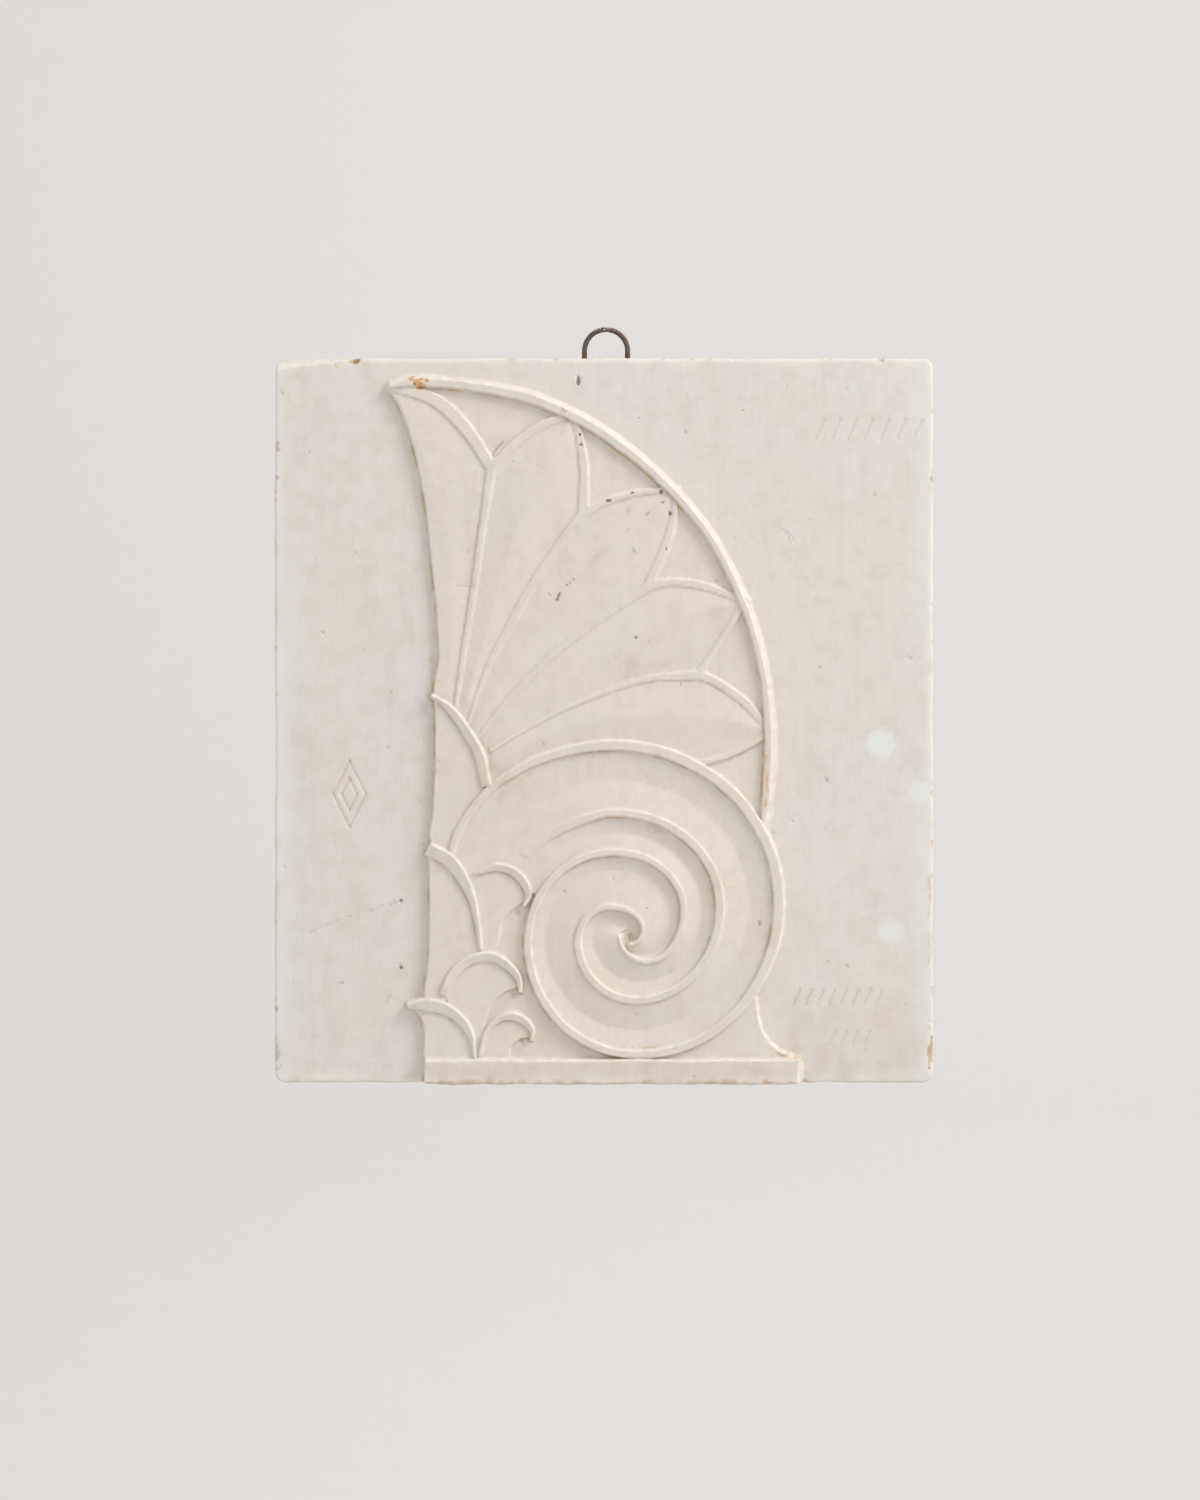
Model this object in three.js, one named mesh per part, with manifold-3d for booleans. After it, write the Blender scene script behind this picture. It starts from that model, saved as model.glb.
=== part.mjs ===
// A cast plaster wall plaque: a half palmette whose petals spring from a volute, on a plain slab,
// with an iron wire loop cast into its top edge to hang it by.
//
// Millimetres, +Z up, the carved face towards -Y, +X to the viewer's right.
// The origin is the top of the loop's opening, where whatever carries the plaque touches the wire.
import * as THREE from 'three';
import { mergeVertices } from 'three/addons/utils/BufferGeometryUtils.js';
import Module from 'manifold-3d';

// The slab.
const SLAB_WIDTH = 300;
const SLAB_HEIGHT = 330;
const SLAB_THICKNESS = 24;
const CORNER_RADIUS = 4.8;
const EDGE_ROUNDING = 1.5;

// The carving stands on the slab's foot line, this far from the slab's left side and top.
// It is drawn on a grid that is GRID_HEIGHT units high, so its own forms are shares of its height.
const CARVING_INSET = 68.7;
const CARVING_TOP_MARGIN = 8;
const GRID_HEIGHT = 713;

// Heights above the slab's face.
const FLOOR_HEIGHT = 2;
const BODY_HEIGHT = 4;
const PETAL_EDGE_HEIGHT = 3.2;
const PETAL_RIDGE_HEIGHT = 4.6;
const FILLET_HEIGHT = 5.6;
const RIM_HEIGHT = 7.6;
const VOLUTE_CREST_HEIGHT = 7.2;
const VOLUTE_VALLEY_HEIGHT = 3.4;
const LEAF_HEIGHT = 6.8;
const PLINTH_HEIGHT = 8;

// The wire loop, and the holes that its legs stand in.
const WIRE_DIAMETER = 2.5;
const LOOP_WIDTH = 22.4;
const LOOP_RISE = 17.1;
const LOOP_OFFSET = 1;
const LEG_DEPTH = 16;
const WIRE_TO_BACK = 6;
const HOLE_CLEARANCE = 0.3;

// How far each carved solid runs down into the slab, so that they become one casting.
const ROOT = 1.5;

// How finely the curves are cut into flat faces.
const QUARTER_STEPS = 7;
const PETAL_STEPS = 14;
const RIM_STEPS = 24;
const BAND_STEPS = 8;
const LEG_SIDES = 12;
const ARCH_STEPS = 12;

const unit = (SLAB_HEIGHT - CARVING_TOP_MARGIN) / GRID_HEIGHT;
const loopCrown = LOOP_RISE - WIRE_DIAMETER;

// Carved bands. Each point is [across, up, width] on the grid, from the carving's left wall and foot.
const rimBand = [
  [-36, 701, 8], [-14, 706, 13], [25, 704.5, 14], [102, 691, 15], [172, 659, 14], [232, 613, 13],
  [282, 557, 12], [316, 495, 11.5], [338, 426, 11.5], [347, 346, 13], [343, 272, 12],
  [344, 252, 11],
];

// The stems run up from the foot of the fan to the cusps between the petals.
const stemBands = [
  [[30, 372, 5], [38, 425, 7], [48, 491, 8], [58.5, 563, 8.5], [67, 619, 10]],
  [[42, 359, 4], [60, 410, 7], [83, 457, 9.5], [117, 515, 10], [158, 572, 10]],
  [[52, 347, 5], [77, 378, 6], [112, 416, 8], [158, 455, 9.5], [224, 500, 11]],
  [[66, 335, 4], [120, 366.5, 5], [174, 391, 6.5], [224, 406.5, 8], [274, 411, 11]],
];

// From each cusp one fillet bends left to the tip of the petal before it, and one right to the next.
const leftFillets = [
  [[67, 619, 11], [40, 660, 14], [8, 688, 14], [-34, 700, 9]],
  [[158, 572, 12], [160.5, 611, 11], [155.5, 649, 9], [148, 672, 5]],
  [[224, 500, 11], [240, 537, 10], [249.5, 569, 9], [251, 596, 5]],
  [[274, 411, 9], [285, 427, 8], [305, 459, 7.5], [320, 483, 6]],
  [[276, 323, 7], [300, 329, 7], [332, 344, 7], [346, 354, 6]],
];
const rightFillets = [
  [[67, 619, 10], [87.5, 640.5, 10], [117, 661, 10], [148, 672, 8]],
  [[158, 572, 10], [178, 583, 9], [214, 593.5, 8], [252, 597, 6]],
  [[224, 500, 10], [245, 503.5, 9.5], [279, 500.5, 9.5], [322, 485, 8]],
  [[274, 411, 11], [290, 405, 10], [320, 384.5, 10], [345, 356, 8]],
];

// The soft ridge along the middle of each petal, from the foot to the tip.
const petalRidges = [
  [[22, 385], [31, 487], [16, 587], [-31, 697]],
  [[42, 385], [62, 455], [79, 518], [100, 573], [123, 625], [148, 669]],
  [[50, 362], [88, 415], [136, 470], [191, 527], [251, 594]],
  [[62, 350], [121, 397], [186, 437], [256, 469], [321, 484]],
  [[75, 322], [104, 341], [152, 361], [220, 369], [284, 368], [345, 356]],
];

// The cut wall along the left of the first petal, from the foot to the tip.
const leftWall = [[9, 392], [14, 431], [13, 455], [9, 510], [3, 564], [-7, 625], [-26, 682], [-36, 700]];

// The last petal's lower side, which lies along the volute's outer crest.
const lastPetalFoot = [[66, 306], [104, 326], [150, 337], [189, 341], [240, 334], [276, 323]];

// The carved ground's left side, from under the plinth up to the first petal.
const groundLeft = [
  [374, 2], [0, 2], [0, 46], [-3, 66], [-13, 78], [1, 84], [4, 126], [5, 195], [3, 237], [9, 245],
  [9, 279], [11, 343],
];

// The volute's two crests wind inwards through these outermost points, a quarter turn apart.
const outerCrest = {
  start: [[23, 207, 9], [189, 341, 12]],
  turns: [
    [356, 182, 13], [214, 30, 10], [103, 142, 10], [189, 234, 10], [260, 176, 9], [223, 123, 8],
    [195, 149, 6],
  ],
};
const innerCrest = {
  start: [[96, 229, 7], [121, 246, 9], [157, 263, 10], [192, 273, 10]],
  turns: [[296.5, 179, 10], [212, 84.5, 9], [154, 143, 9], [186, 179, 8], [219, 157, 6], [206, 141, 5]],
};
const eye = new THREE.Vector2(208, 155);

// The low dish round the eye, inside the innermost turn, and how many sides it is drawn with.
const EYE_DISH_RADIUS = 52;
const EYE_DISH_HEIGHT = 3.2;
const EYE_DISH_SIDES = 20;

// Leaves and hooks at the lower left, from the base of each to its tip.
const leafBands = [
  [[6, 391, 4], [23, 378, 9], [40, 357, 11], [54, 333, 12], [62, 299, 12]],
  [[3, 237, 14], [23, 225, 15], [38, 207, 13], [49, 182, 9], [56, 135, 5]],
  [[50, 211, 5], [71, 218, 9], [88, 214, 10], [100, 202, 10], [104, 190, 8], [99, 178, 4]],
  [[19, 89, 9], [29, 110, 11], [46, 125, 11], [66, 128, 11], [84, 119, 10], [94, 106, 8], [96, 92, 4]],
  [[-15, 79, 6], [1, 80, 14], [21, 76, 13], [37, 64, 11], [47, 47, 8], [51, 27, 4]],
  [[56, 29, 5], [62, 52, 6], [73, 65, 8], [86, 69, 10], [100, 64, 10], [108, 54, 7], [107, 44, 4]],
];

// The flat bodies that the leaves and hooks edge.
const leafBodies = [
  [[10, 390], [11, 343], [9, 279], [7, 241], [24, 226], [36, 250], [60, 300], [52, 336], [38, 359],
    [22, 378]],
  [[4, 237], [5, 195], [4, 126], [2, 80], [22, 78], [20, 92], [30, 110], [54, 126], [56, 137],
    [49, 182], [36, 208]],
  [[46, 208], [72, 218], [92, 212], [102, 200], [101, 187], [80, 166], [70, 134], [56, 130], [52, 180]],
  [[20, 88], [30, 110], [46, 125], [68, 128], [86, 117], [95, 104], [92, 97], [71, 88], [60, 65], [40, 62]],
  [[-13, 78], [20, 77], [38, 62], [52, 27], [0, 26], [0, 46], [-3, 66]],
  [[54, 26], [60, 50], [73, 66], [88, 69], [102, 62], [108, 50], [96, 46], [86, 38], [84, 26]],
];

// The trunk that the volute grows out of, between the outer crest and the hooks.
const trunk = [
  [24, 207], [27, 235], [38, 266], [98, 231], [130, 209], [112, 190], [104, 186], [50, 205],
];

// The ground that the petals' feet share, behind the first leaf.
const fanFoot = [[9, 392], [22, 404], [48, 392], [84, 352], [104, 341], [66, 300], [58, 306], [40, 345]];

// The foot right of the volute: its hollow side runs from the outer crest down to the plinth's end.
const hollowSide = [[333, 86], [335, 70], [339, 54], [347, 41], [357, 33], [374, 26]];
const rightFoot = [...hollowSide, [230, 26], [300, 92]];

// How far the sides of each kind of band slope in from its foot to its flat top, on the grid.
const FILLET_BEVEL = 1.5;
const CREST_BEVEL = 2;
const RIM_BEVEL = 3;
const LEAF_BEVEL = 3;
const NARROWEST_TOP = 0.3;

// Corners nearer to each other than this, in millimetres, are one corner.
const WELD_DISTANCE = 1e-5;

// The channels' sections, as shares of their width and depth.
const CHANNEL_SHOULDER = { across: 0.26, up: 0.35 };
const CHANNEL_LIP = 0.8;

// The plinth's size on the grid.
const plinthSize = [380, 27];

// Solids are made in the drawing's own space: across, up, and out towards the viewer.
const wasm = await Module();
wasm.setup();

// A closed triangle mesh as a solid for joining and cutting.
function toSolid(geometry) {
  const bare = geometry.clone();
  bare.deleteAttribute('normal');
  bare.deleteAttribute('uv');
  const welded = mergeVertices(bare, WELD_DISTANCE);
  const vertProperties = new Float32Array(welded.attributes.position.array);
  const triVerts = new Uint32Array(welded.index.array);
  return new wasm.Manifold(new wasm.Mesh({ numProp: 3, vertProperties, triVerts }));
}

function toGeometry(solid) {
  const mesh = solid.getMesh();
  const geometry = new THREE.BufferGeometry();
  geometry.setAttribute('position', new THREE.BufferAttribute(new Float32Array(mesh.vertProperties), 3));
  geometry.setIndex(new THREE.BufferAttribute(new Uint32Array(mesh.triVerts), 1));
  geometry.computeVertexNormals();
  return geometry;
}

function joined(solids) {
  return solids.reduce((whole, solid) => whole.add(solid));
}

// A place on the drawing grid, in millimetres from the middle of the slab's foot.
function onSlab(x, y) {
  return new THREE.Vector2(CARVING_INSET + x * unit - SLAB_WIDTH / 2, y * unit);
}

// A solid through a row of closed sections. Each section is a ring of [point, height] pairs.
function loft(sections) {
  const size = sections[0].length;
  const positions = [];
  for (const section of sections) {
    for (const [point, height] of section) positions.push(point.x, point.y, height);
  }
  const index = [];
  for (let s = 0; s + 1 < sections.length; s += 1) {
    for (let k = 0; k < size; k += 1) {
      const a = s * size + k;
      const b = s * size + ((k + 1) % size);
      index.push(a, b, b + size, a, b + size, a + size);
    }
  }
  // The ends are closed in the plane of their own section.
  const first = sections[0];
  const across = first[0][0];
  const flat = first.map(([point, height]) => new THREE.Vector2(point.distanceTo(across), height));
  const cap = THREE.ShapeUtils.triangulateShape(flat, []);
  const facing = Math.sign(THREE.ShapeUtils.area(flat));
  const last = (sections.length - 1) * size;
  for (const [a, b, c] of cap) {
    index.push(...(facing > 0 ? [c, b, a] : [a, b, c]));
    index.push(...(facing > 0 ? [last + a, last + b, last + c] : [last + c, last + b, last + a]));
  }
  const geometry = new THREE.BufferGeometry();
  geometry.setAttribute('position', new THREE.Float32BufferAttribute(positions, 3));
  geometry.setIndex(index);
  const solid = toSolid(geometry);
  return solid.volume() < 0 ? toSolid(flipped(geometry)) : solid;
}

function flipped(geometry) {
  const index = geometry.index.array;
  for (let k = 0; k < index.length; k += 3) [index[k], index[k + 1]] = [index[k + 1], index[k]];
  return geometry;
}

// A smooth line through grid points, sampled as points with a width each.
function sampled(points, steps) {
  const line = new THREE.CatmullRomCurve3(
    points.map(([x, y, width = 0]) => new THREE.Vector3(x, y, width)), false, 'centripetal',
  );
  return line.getSpacedPoints(steps).map((p) => ({ x: p.x, y: p.y, width: p.z }));
}

// The unit vector to the left of the way that a sampled line runs, at one of its points.
function leftOf(line, k) {
  const before = line[Math.max(k - 1, 0)];
  const after = line[Math.min(k + 1, line.length - 1)];
  return new THREE.Vector2(before.y - after.y, after.x - before.x).normalize();
}

// A raised band along a line: two bevelled sides and a flat top.
function band(line, height, bevel) {
  return loft(line.map((place, k) => {
    const left = leftOf(line, k);
    const side = (reach) => onSlab(place.x + left.x * reach, place.y + left.y * reach);
    const foot = place.width / 2;
    const top = Math.max(foot - bevel, foot * NARROWEST_TOP);
    return [[side(foot), -ROOT], [side(-foot), -ROOT], [side(-foot), FLOOR_HEIGHT],
      [side(-top), height], [side(top), height], [side(foot), FLOOR_HEIGHT]];
  }));
}

// A flat region of the carving, straight sided, up to one height.
function plate(outline, height) {
  const shape = new THREE.Shape(outline.map(([x, y]) => onSlab(x, y)));
  const geometry = new THREE.ExtrudeGeometry(shape, { depth: height + ROOT, bevelEnabled: false });
  geometry.translate(0, 0, -ROOT);
  return toSolid(geometry);
}

// A quarter of an ellipse between two outermost points. It leaves the first one upright or level.
function quarterTurn(from, to, leavesUpright, steps) {
  const points = [];
  for (let k = 1; k <= steps; k += 1) {
    const turn = (Math.PI / 2) * (k / steps);
    const [near, far] = [1 - Math.cos(turn), Math.sin(turn)];
    const [u, v] = leavesUpright ? [near, far] : [far, near];
    points.push({
      x: from[0] + (to[0] - from[0]) * u,
      y: from[1] + (to[1] - from[1]) * v,
      width: from[2] + (to[2] - from[2]) * (k / steps),
    });
  }
  return points;
}

// A crest of the volute, from its start to the eye.
function crestLine({ start, turns }) {
  const [first, second] = start;
  const whole = start.length === 2
    ? [{ x: first[0], y: first[1], width: first[2] }, ...quarterTurn(first, second, true, QUARTER_STEPS)]
    : sampled(start, QUARTER_STEPS);
  let from = start[start.length - 1];
  let leavesUpright = false;
  for (const to of turns) {
    whole.push(...quarterTurn(from, to, leavesUpright, QUARTER_STEPS));
    from = to;
    leavesUpright = !leavesUpright;
  }
  return whole;
}

// How far from the eye a crest runs at each angle, counted on clockwise from the left.
function reachByAngle(line) {
  let last = 0;
  return line.map((place) => {
    const raw = Math.atan2(place.y - eye.y, eye.x - place.x);
    const turned = raw + 2 * Math.PI * Math.round((last - raw) / (2 * Math.PI));
    last = turned;
    return [turned, Math.hypot(place.x - eye.x, place.y - eye.y)];
  });
}

function reachAt(reaches, angle) {
  const next = Math.max(1, reaches.findIndex(([turned]) => turned >= angle));
  const [fromAngle, fromReach] = reaches[next - 1];
  const [toAngle, toReach] = reaches[next];
  return THREE.MathUtils.mapLinear(angle, fromAngle, toAngle, fromReach, toReach);
}

// The hollow channel between an outer and an inner crest, from one angle to another.
function channel(outer, inner, fromAngle, toAngle, lag) {
  const steps = Math.ceil((toAngle - fromAngle) / (Math.PI / 2 / QUARTER_STEPS));
  const sections = [];
  for (let k = 0; k <= steps; k += 1) {
    const angle = THREE.MathUtils.lerp(fromAngle, toAngle, k / steps);
    const far = reachAt(outer, angle);
    const near = reachAt(inner, angle + lag);
    const at = (share) => {
      const reach = THREE.MathUtils.lerp(near, far, share);
      return onSlab(eye.x - Math.cos(angle) * reach, eye.y + Math.sin(angle) * reach);
    };
    const { across, up } = CHANNEL_SHOULDER;
    const shoulder = THREE.MathUtils.lerp(VOLUTE_VALLEY_HEIGHT, VOLUTE_CREST_HEIGHT, up);
    const lip = VOLUTE_CREST_HEIGHT - CHANNEL_LIP;
    sections.push([[at(0), -ROOT], [at(1), -ROOT], [at(1), lip], [at(1 - across), shoulder],
      [at(0.5), VOLUTE_VALLEY_HEIGHT], [at(across), shoulder], [at(0), lip]]);
  }
  return loft(sections);
}

// One petal: its two sides and its ridge run from the foot of the fan to its tip.
function petal(leftSide, rightSide, ridge) {
  return loft(leftSide.map((from, k) => {
    const to = rightSide[k];
    const top = ridge[k];
    const [left, right] = [onSlab(from.x, from.y), onSlab(to.x, to.y)];
    return [[left, -ROOT], [right, -ROOT], [right, PETAL_EDGE_HEIGHT],
      [onSlab(top.x, top.y), PETAL_RIDGE_HEIGHT], [left, PETAL_EDGE_HEIGHT]];
  }));
}

function petals() {
  const along = (...parts) => sampled(parts.flatMap((part, k) => (k ? part.slice(1) : part)), PETAL_STEPS);
  return petalRidges.map((ridge, k) => {
    const left = k === 0 ? sampled(leftWall, PETAL_STEPS) : along(stemBands[k - 1], rightFillets[k - 1]);
    const foot = stemBands[k] ?? lastPetalFoot;
    return petal(left, along(foot, leftFillets[k]), sampled(ridge, PETAL_STEPS));
  });
}

// The whole ground of the carving, under the rim, the volute's right side, the hollow and the wall.
function bed(outer) {
  const places = (line) => line.map(({ x, y }) => [x, y]);
  const rimEnd = rimBand[rimBand.length - 1];
  const right = outer.filter(({ x, y }) => x > eye.x && y < rimEnd[1] && y > hollowSide[0][1]);
  const turn = right.slice(0, right.findIndex(({ y }, k) => k > 0 && y > right[k - 1].y));
  const rim = places(sampled(rimBand, RIM_STEPS));
  const side = places(sampled(leftWall, BAND_STEPS)).slice(0, -1);
  return plate([...rim, ...places(turn), ...hollowSide, ...groundLeft, ...side], FLOOR_HEIGHT);
}

function eyeDish() {
  const outline = Array.from({ length: EYE_DISH_SIDES }, (_, k) => {
    const turn = (2 * Math.PI * k) / EYE_DISH_SIDES;
    return [eye.x + EYE_DISH_RADIUS * Math.cos(turn), eye.y + EYE_DISH_RADIUS * Math.sin(turn)];
  });
  return plate(outline, EYE_DISH_HEIGHT);
}

function plinth() {
  const [length, rise] = plinthSize;
  const geometry = new THREE.BoxGeometry(length * unit, rise * unit, PLINTH_HEIGHT + ROOT);
  const middle = onSlab(length / 2, rise / 2);
  geometry.translate(middle.x, middle.y, (PLINTH_HEIGHT - ROOT) / 2);
  return toSolid(geometry);
}

// The slab stands on the drawing's foot line, its face at height nought.
function slab() {
  const half = SLAB_WIDTH / 2 - EDGE_ROUNDING;
  const low = EDGE_ROUNDING;
  const high = SLAB_HEIGHT - EDGE_ROUNDING;
  const radius = CORNER_RADIUS - EDGE_ROUNDING;
  const shape = new THREE.Shape();
  shape.absarc(half - radius, low + radius, radius, -Math.PI / 2, 0);
  shape.absarc(half - radius, high - radius, radius, 0, Math.PI / 2);
  shape.absarc(radius - half, high - radius, radius, Math.PI / 2, Math.PI);
  shape.absarc(radius - half, low + radius, radius, Math.PI, Math.PI * 1.5);
  const geometry = new THREE.ExtrudeGeometry(shape, {
    depth: SLAB_THICKNESS - 2 * EDGE_ROUNDING,
    curveSegments: 3,
    bevelSize: EDGE_ROUNDING,
    bevelThickness: EDGE_ROUNDING,
    bevelSegments: 2,
  });
  geometry.translate(0, 0, EDGE_ROUNDING - SLAB_THICKNESS);
  return toSolid(geometry);
}

const legSpread = (LOOP_WIDTH - WIRE_DIAMETER) / 2;

// The two holes in the top edge that the wire's legs stand in.
function legHoles() {
  const radius = (WIRE_DIAMETER / 2 + HOLE_CLEARANCE) / Math.cos(Math.PI / LEG_SIDES);
  const depth = LEG_DEPTH + HOLE_CLEARANCE;
  return [-1, 1].map((side) => {
    const geometry = new THREE.CylinderGeometry(radius, radius, depth * 2, LEG_SIDES);
    geometry.translate(LOOP_OFFSET + side * legSpread, SLAB_HEIGHT, WIRE_TO_BACK - SLAB_THICKNESS);
    return toSolid(geometry);
  });
}

function plasterCasting() {
  const outerLine = crestLine(outerCrest);
  const innerLine = crestLine(innerCrest);
  const outer = reachByAngle(outerLine);
  const inner = reachByAngle(innerLine);
  const open = inner[0][0];
  const turn = 2 * Math.PI;
  const fillets = [...stemBands, ...leftFillets, ...rightFillets];
  const carving = [
    bed(outerLine),
    plinth(),
    ...petals(),
    ...leafBodies.map((outline) => plate(outline, BODY_HEIGHT)),
    plate(trunk, BODY_HEIGHT),
    plate(rightFoot, BODY_HEIGHT),
    plate(fanFoot, PETAL_EDGE_HEIGHT),
    eyeDish(),
    channel(outer, inner, open, inner[inner.length - 1][0], 0),
    channel(inner, outer, open, outer[outer.length - 1][0] - turn, turn),
    ...fillets.map((points) => band(sampled(points, BAND_STEPS), FILLET_HEIGHT, FILLET_BEVEL)),
    band(sampled(rimBand, RIM_STEPS), RIM_HEIGHT, RIM_BEVEL),
    band(outerLine, VOLUTE_CREST_HEIGHT, CREST_BEVEL),
    band(innerLine, VOLUTE_CREST_HEIGHT, CREST_BEVEL),
    ...leafBands.map((points) => band(sampled(points, BAND_STEPS), LEAF_HEIGHT, LEAF_BEVEL)),
  ];
  return legHoles().reduce((whole, hole) => whole.subtract(hole), joined([slab(), ...carving]));
}

// The bent wire, from the foot of one leg over the arch to the foot of the other.
function wireLoop() {
  const spring = LOOP_RISE - WIRE_DIAMETER / 2 - legSpread;
  const path = new THREE.CurvePath();
  const at = (x, z) => new THREE.Vector3(x, 0, z);
  path.add(new THREE.LineCurve3(at(-legSpread, -LEG_DEPTH), at(-legSpread, spring)));
  const onArch = (k) => {
    const angle = Math.PI * (1 - k / ARCH_STEPS);
    return at(legSpread * Math.cos(angle), spring + legSpread * Math.sin(angle));
  };
  for (let k = 0; k < ARCH_STEPS; k += 1) path.add(new THREE.LineCurve3(onArch(k), onArch(k + 1)));
  path.add(new THREE.LineCurve3(at(legSpread, spring), at(legSpread, -LEG_DEPTH)));
  const section = new THREE.Shape().absarc(0, 0, WIRE_DIAMETER / 2, 0, 2 * Math.PI);
  return new THREE.ExtrudeGeometry(section, {
    extrudePath: path, steps: 3 * ARCH_STEPS, curveSegments: LEG_SIDES / 2, bevelEnabled: false,
  });
}

const plaster = new THREE.MeshStandardMaterial({ color: '#d9d2c3', roughness: 0.85, metalness: 0 });
const iron = new THREE.MeshStandardMaterial({ color: '#5a544d', roughness: 0.6, metalness: 0.7 });

const plaque = new THREE.Group();

const casting = new THREE.Mesh(toGeometry(plasterCasting()), plaster);
casting.name = 'plaster_plaque';
casting.rotation.x = Math.PI / 2;
casting.position.set(-LOOP_OFFSET, WIRE_TO_BACK - SLAB_THICKNESS, -loopCrown - SLAB_HEIGHT);
plaque.add(casting);

const loop = new THREE.Mesh(wireLoop(), iron);
loop.name = 'hanging_loop';
loop.position.set(0, 0, -loopCrown);
plaque.add(loop);

export default plaque;
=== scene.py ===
"""A cast plaster wall plaque with a half palmette over a volute, hung by an iron wire loop.

The casting's front is a fine sheet whose vertices follow a height field. The height field is drawn
from named bands and regions on the carving's own grid, so the carving stays one smooth casting.
"""

import logging
import math
from dataclasses import dataclass, field
from enum import Enum
from typing import Any, Callable, Iterable

import bmesh
import bpy
import numpy as np
from mathutils import Matrix, Vector


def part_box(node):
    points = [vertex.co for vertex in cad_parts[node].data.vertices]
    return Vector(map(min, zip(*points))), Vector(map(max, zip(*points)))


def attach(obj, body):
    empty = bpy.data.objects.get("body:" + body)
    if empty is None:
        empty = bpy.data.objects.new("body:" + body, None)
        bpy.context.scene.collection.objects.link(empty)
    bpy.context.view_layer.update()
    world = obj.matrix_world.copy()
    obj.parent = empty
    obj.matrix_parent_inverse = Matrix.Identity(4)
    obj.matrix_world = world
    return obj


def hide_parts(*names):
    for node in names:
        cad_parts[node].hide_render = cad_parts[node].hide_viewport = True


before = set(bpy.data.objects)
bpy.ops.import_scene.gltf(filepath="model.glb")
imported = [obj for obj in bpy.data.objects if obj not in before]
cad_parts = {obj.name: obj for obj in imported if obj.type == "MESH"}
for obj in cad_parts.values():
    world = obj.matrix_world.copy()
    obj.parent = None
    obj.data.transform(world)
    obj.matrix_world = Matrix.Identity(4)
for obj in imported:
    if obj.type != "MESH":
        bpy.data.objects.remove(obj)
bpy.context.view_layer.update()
log = logging.getLogger("plaque")

MM = 0.001
TRACE_REACH = 6.0
PLATE_REACH = 3.0
Line = tuple[tuple[float, ...], ...]
Border = dict[bmesh.types.BMVert, tuple[Vector, Vector]]
Pattern = tuple[float, tuple[float, float, float], float]
Window = tuple[slice, slice]
Profile = Callable[[np.ndarray, np.ndarray, np.ndarray], np.ndarray]


class Tint(Enum):
    """The kinds of discolouring that the casting carries as attributes of its mesh; the crease tint also paints
    shade and the ridge tint also paints highlights.
    """

    # Dirt in the creases, and painted shade where they face away from the light.
    CREASE = "crease_dirt_and_shade"
    # Rubbed wear on edges, and painted highlights on ridges and on faces turned to the light.
    RIDGE_WEAR_AND_HIGHLIGHT = "ridge"
    WARM = "warm"
    TAN = "tan"
    DARK = "dark"
    PALE = "pale"


def linear(code: str) -> tuple[float, float, float, float]:
    """Turns an sRGB hex colour into linear values.

    Args:
        code: six hex digits, red, green and blue.

    Returns:
        Linear red, green, blue and a full alpha.
    """
    values = []
    for k in range(0, 6, 2):
        share = int(code[k:k + 2], 16) / 255
        values.append(share / 12.92 if share <= 0.04045 else ((share + 0.055) / 1.055) ** 2.4)
    return (values[0], values[1], values[2], 1.0)


def ease(value: np.ndarray) -> np.ndarray:
    """Eases a value from 0 to 1 with level ends."""
    share = np.clip(value, 0.0, 1.0)
    return share * share * (3 - 2 * share)


def curve_through(points: Iterable[tuple[float, ...]], steps: int = 10) -> np.ndarray:
    """Draws a smooth line through points, as a centripetal Catmull-Rom curve.

    Args:
        points: the places, each with any further values that run along with it.
        steps: how many short pieces each stretch is cut into.

    Returns:
        One row for each place along the line.
    """
    given = np.array(list(points), float)
    ends = [2 * given[0] - given[1], *given, 2 * given[-1] - given[-2]]
    rows = []
    for before, start, stop, after in zip(ends, ends[1:], ends[2:], ends[3:]):
        first, middle, last = (
            max(float(np.linalg.norm((b - a)[:2])), 1e-6) ** 0.5
            for a, b in ((before, start), (start, stop), (stop, after))
        )
        leave = (start - before) / first - (stop - before) / (first + middle) + (stop - start) / middle
        arrive = (stop - start) / middle - (after - start) / (middle + last) + (after - stop) / last
        leave, arrive = leave * middle, arrive * middle
        for t in np.linspace(0, 1, steps, endpoint=False):
            rows.append(
                (2 * t**3 - 3 * t**2 + 1) * start + (t**3 - 2 * t**2 + t) * leave
                + (3 * t**2 - 2 * t**3) * stop + (t**3 - t**2) * arrive
            )
    rows.append(given[-1])
    return np.array(rows)


@dataclass(frozen=True)
class Grid:
    """The grid that the carving is drawn on, from its left wall and the slab's foot."""

    inset: float = 68.7
    top_margin: float = 8.0
    rows: float = 713.0
    slab_height: float = 330.0

    @property
    def unit(self) -> float:
        """One grid unit in millimetres."""
        return (self.slab_height - self.top_margin) / self.rows

    def on_slab(self, line: Iterable[Iterable[float]]) -> np.ndarray:
        """Turns grid places, with or without widths, into millimetres from the slab's lower left."""
        rows = np.array([list(row) for row in line], float) * self.unit
        rows[:, 0] += self.inset
        return rows

    def curve(self, points: Iterable[Iterable[float]]) -> np.ndarray:
        """Draws a smooth line through grid places, in millimetres."""
        return curve_through(self.on_slab(points))


@dataclass(frozen=True)
class Trace:
    """How a window of the height field lies to a line: side distance, half width and share along."""

    window: Window
    side: np.ndarray
    half: np.ndarray
    along: np.ndarray


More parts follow.
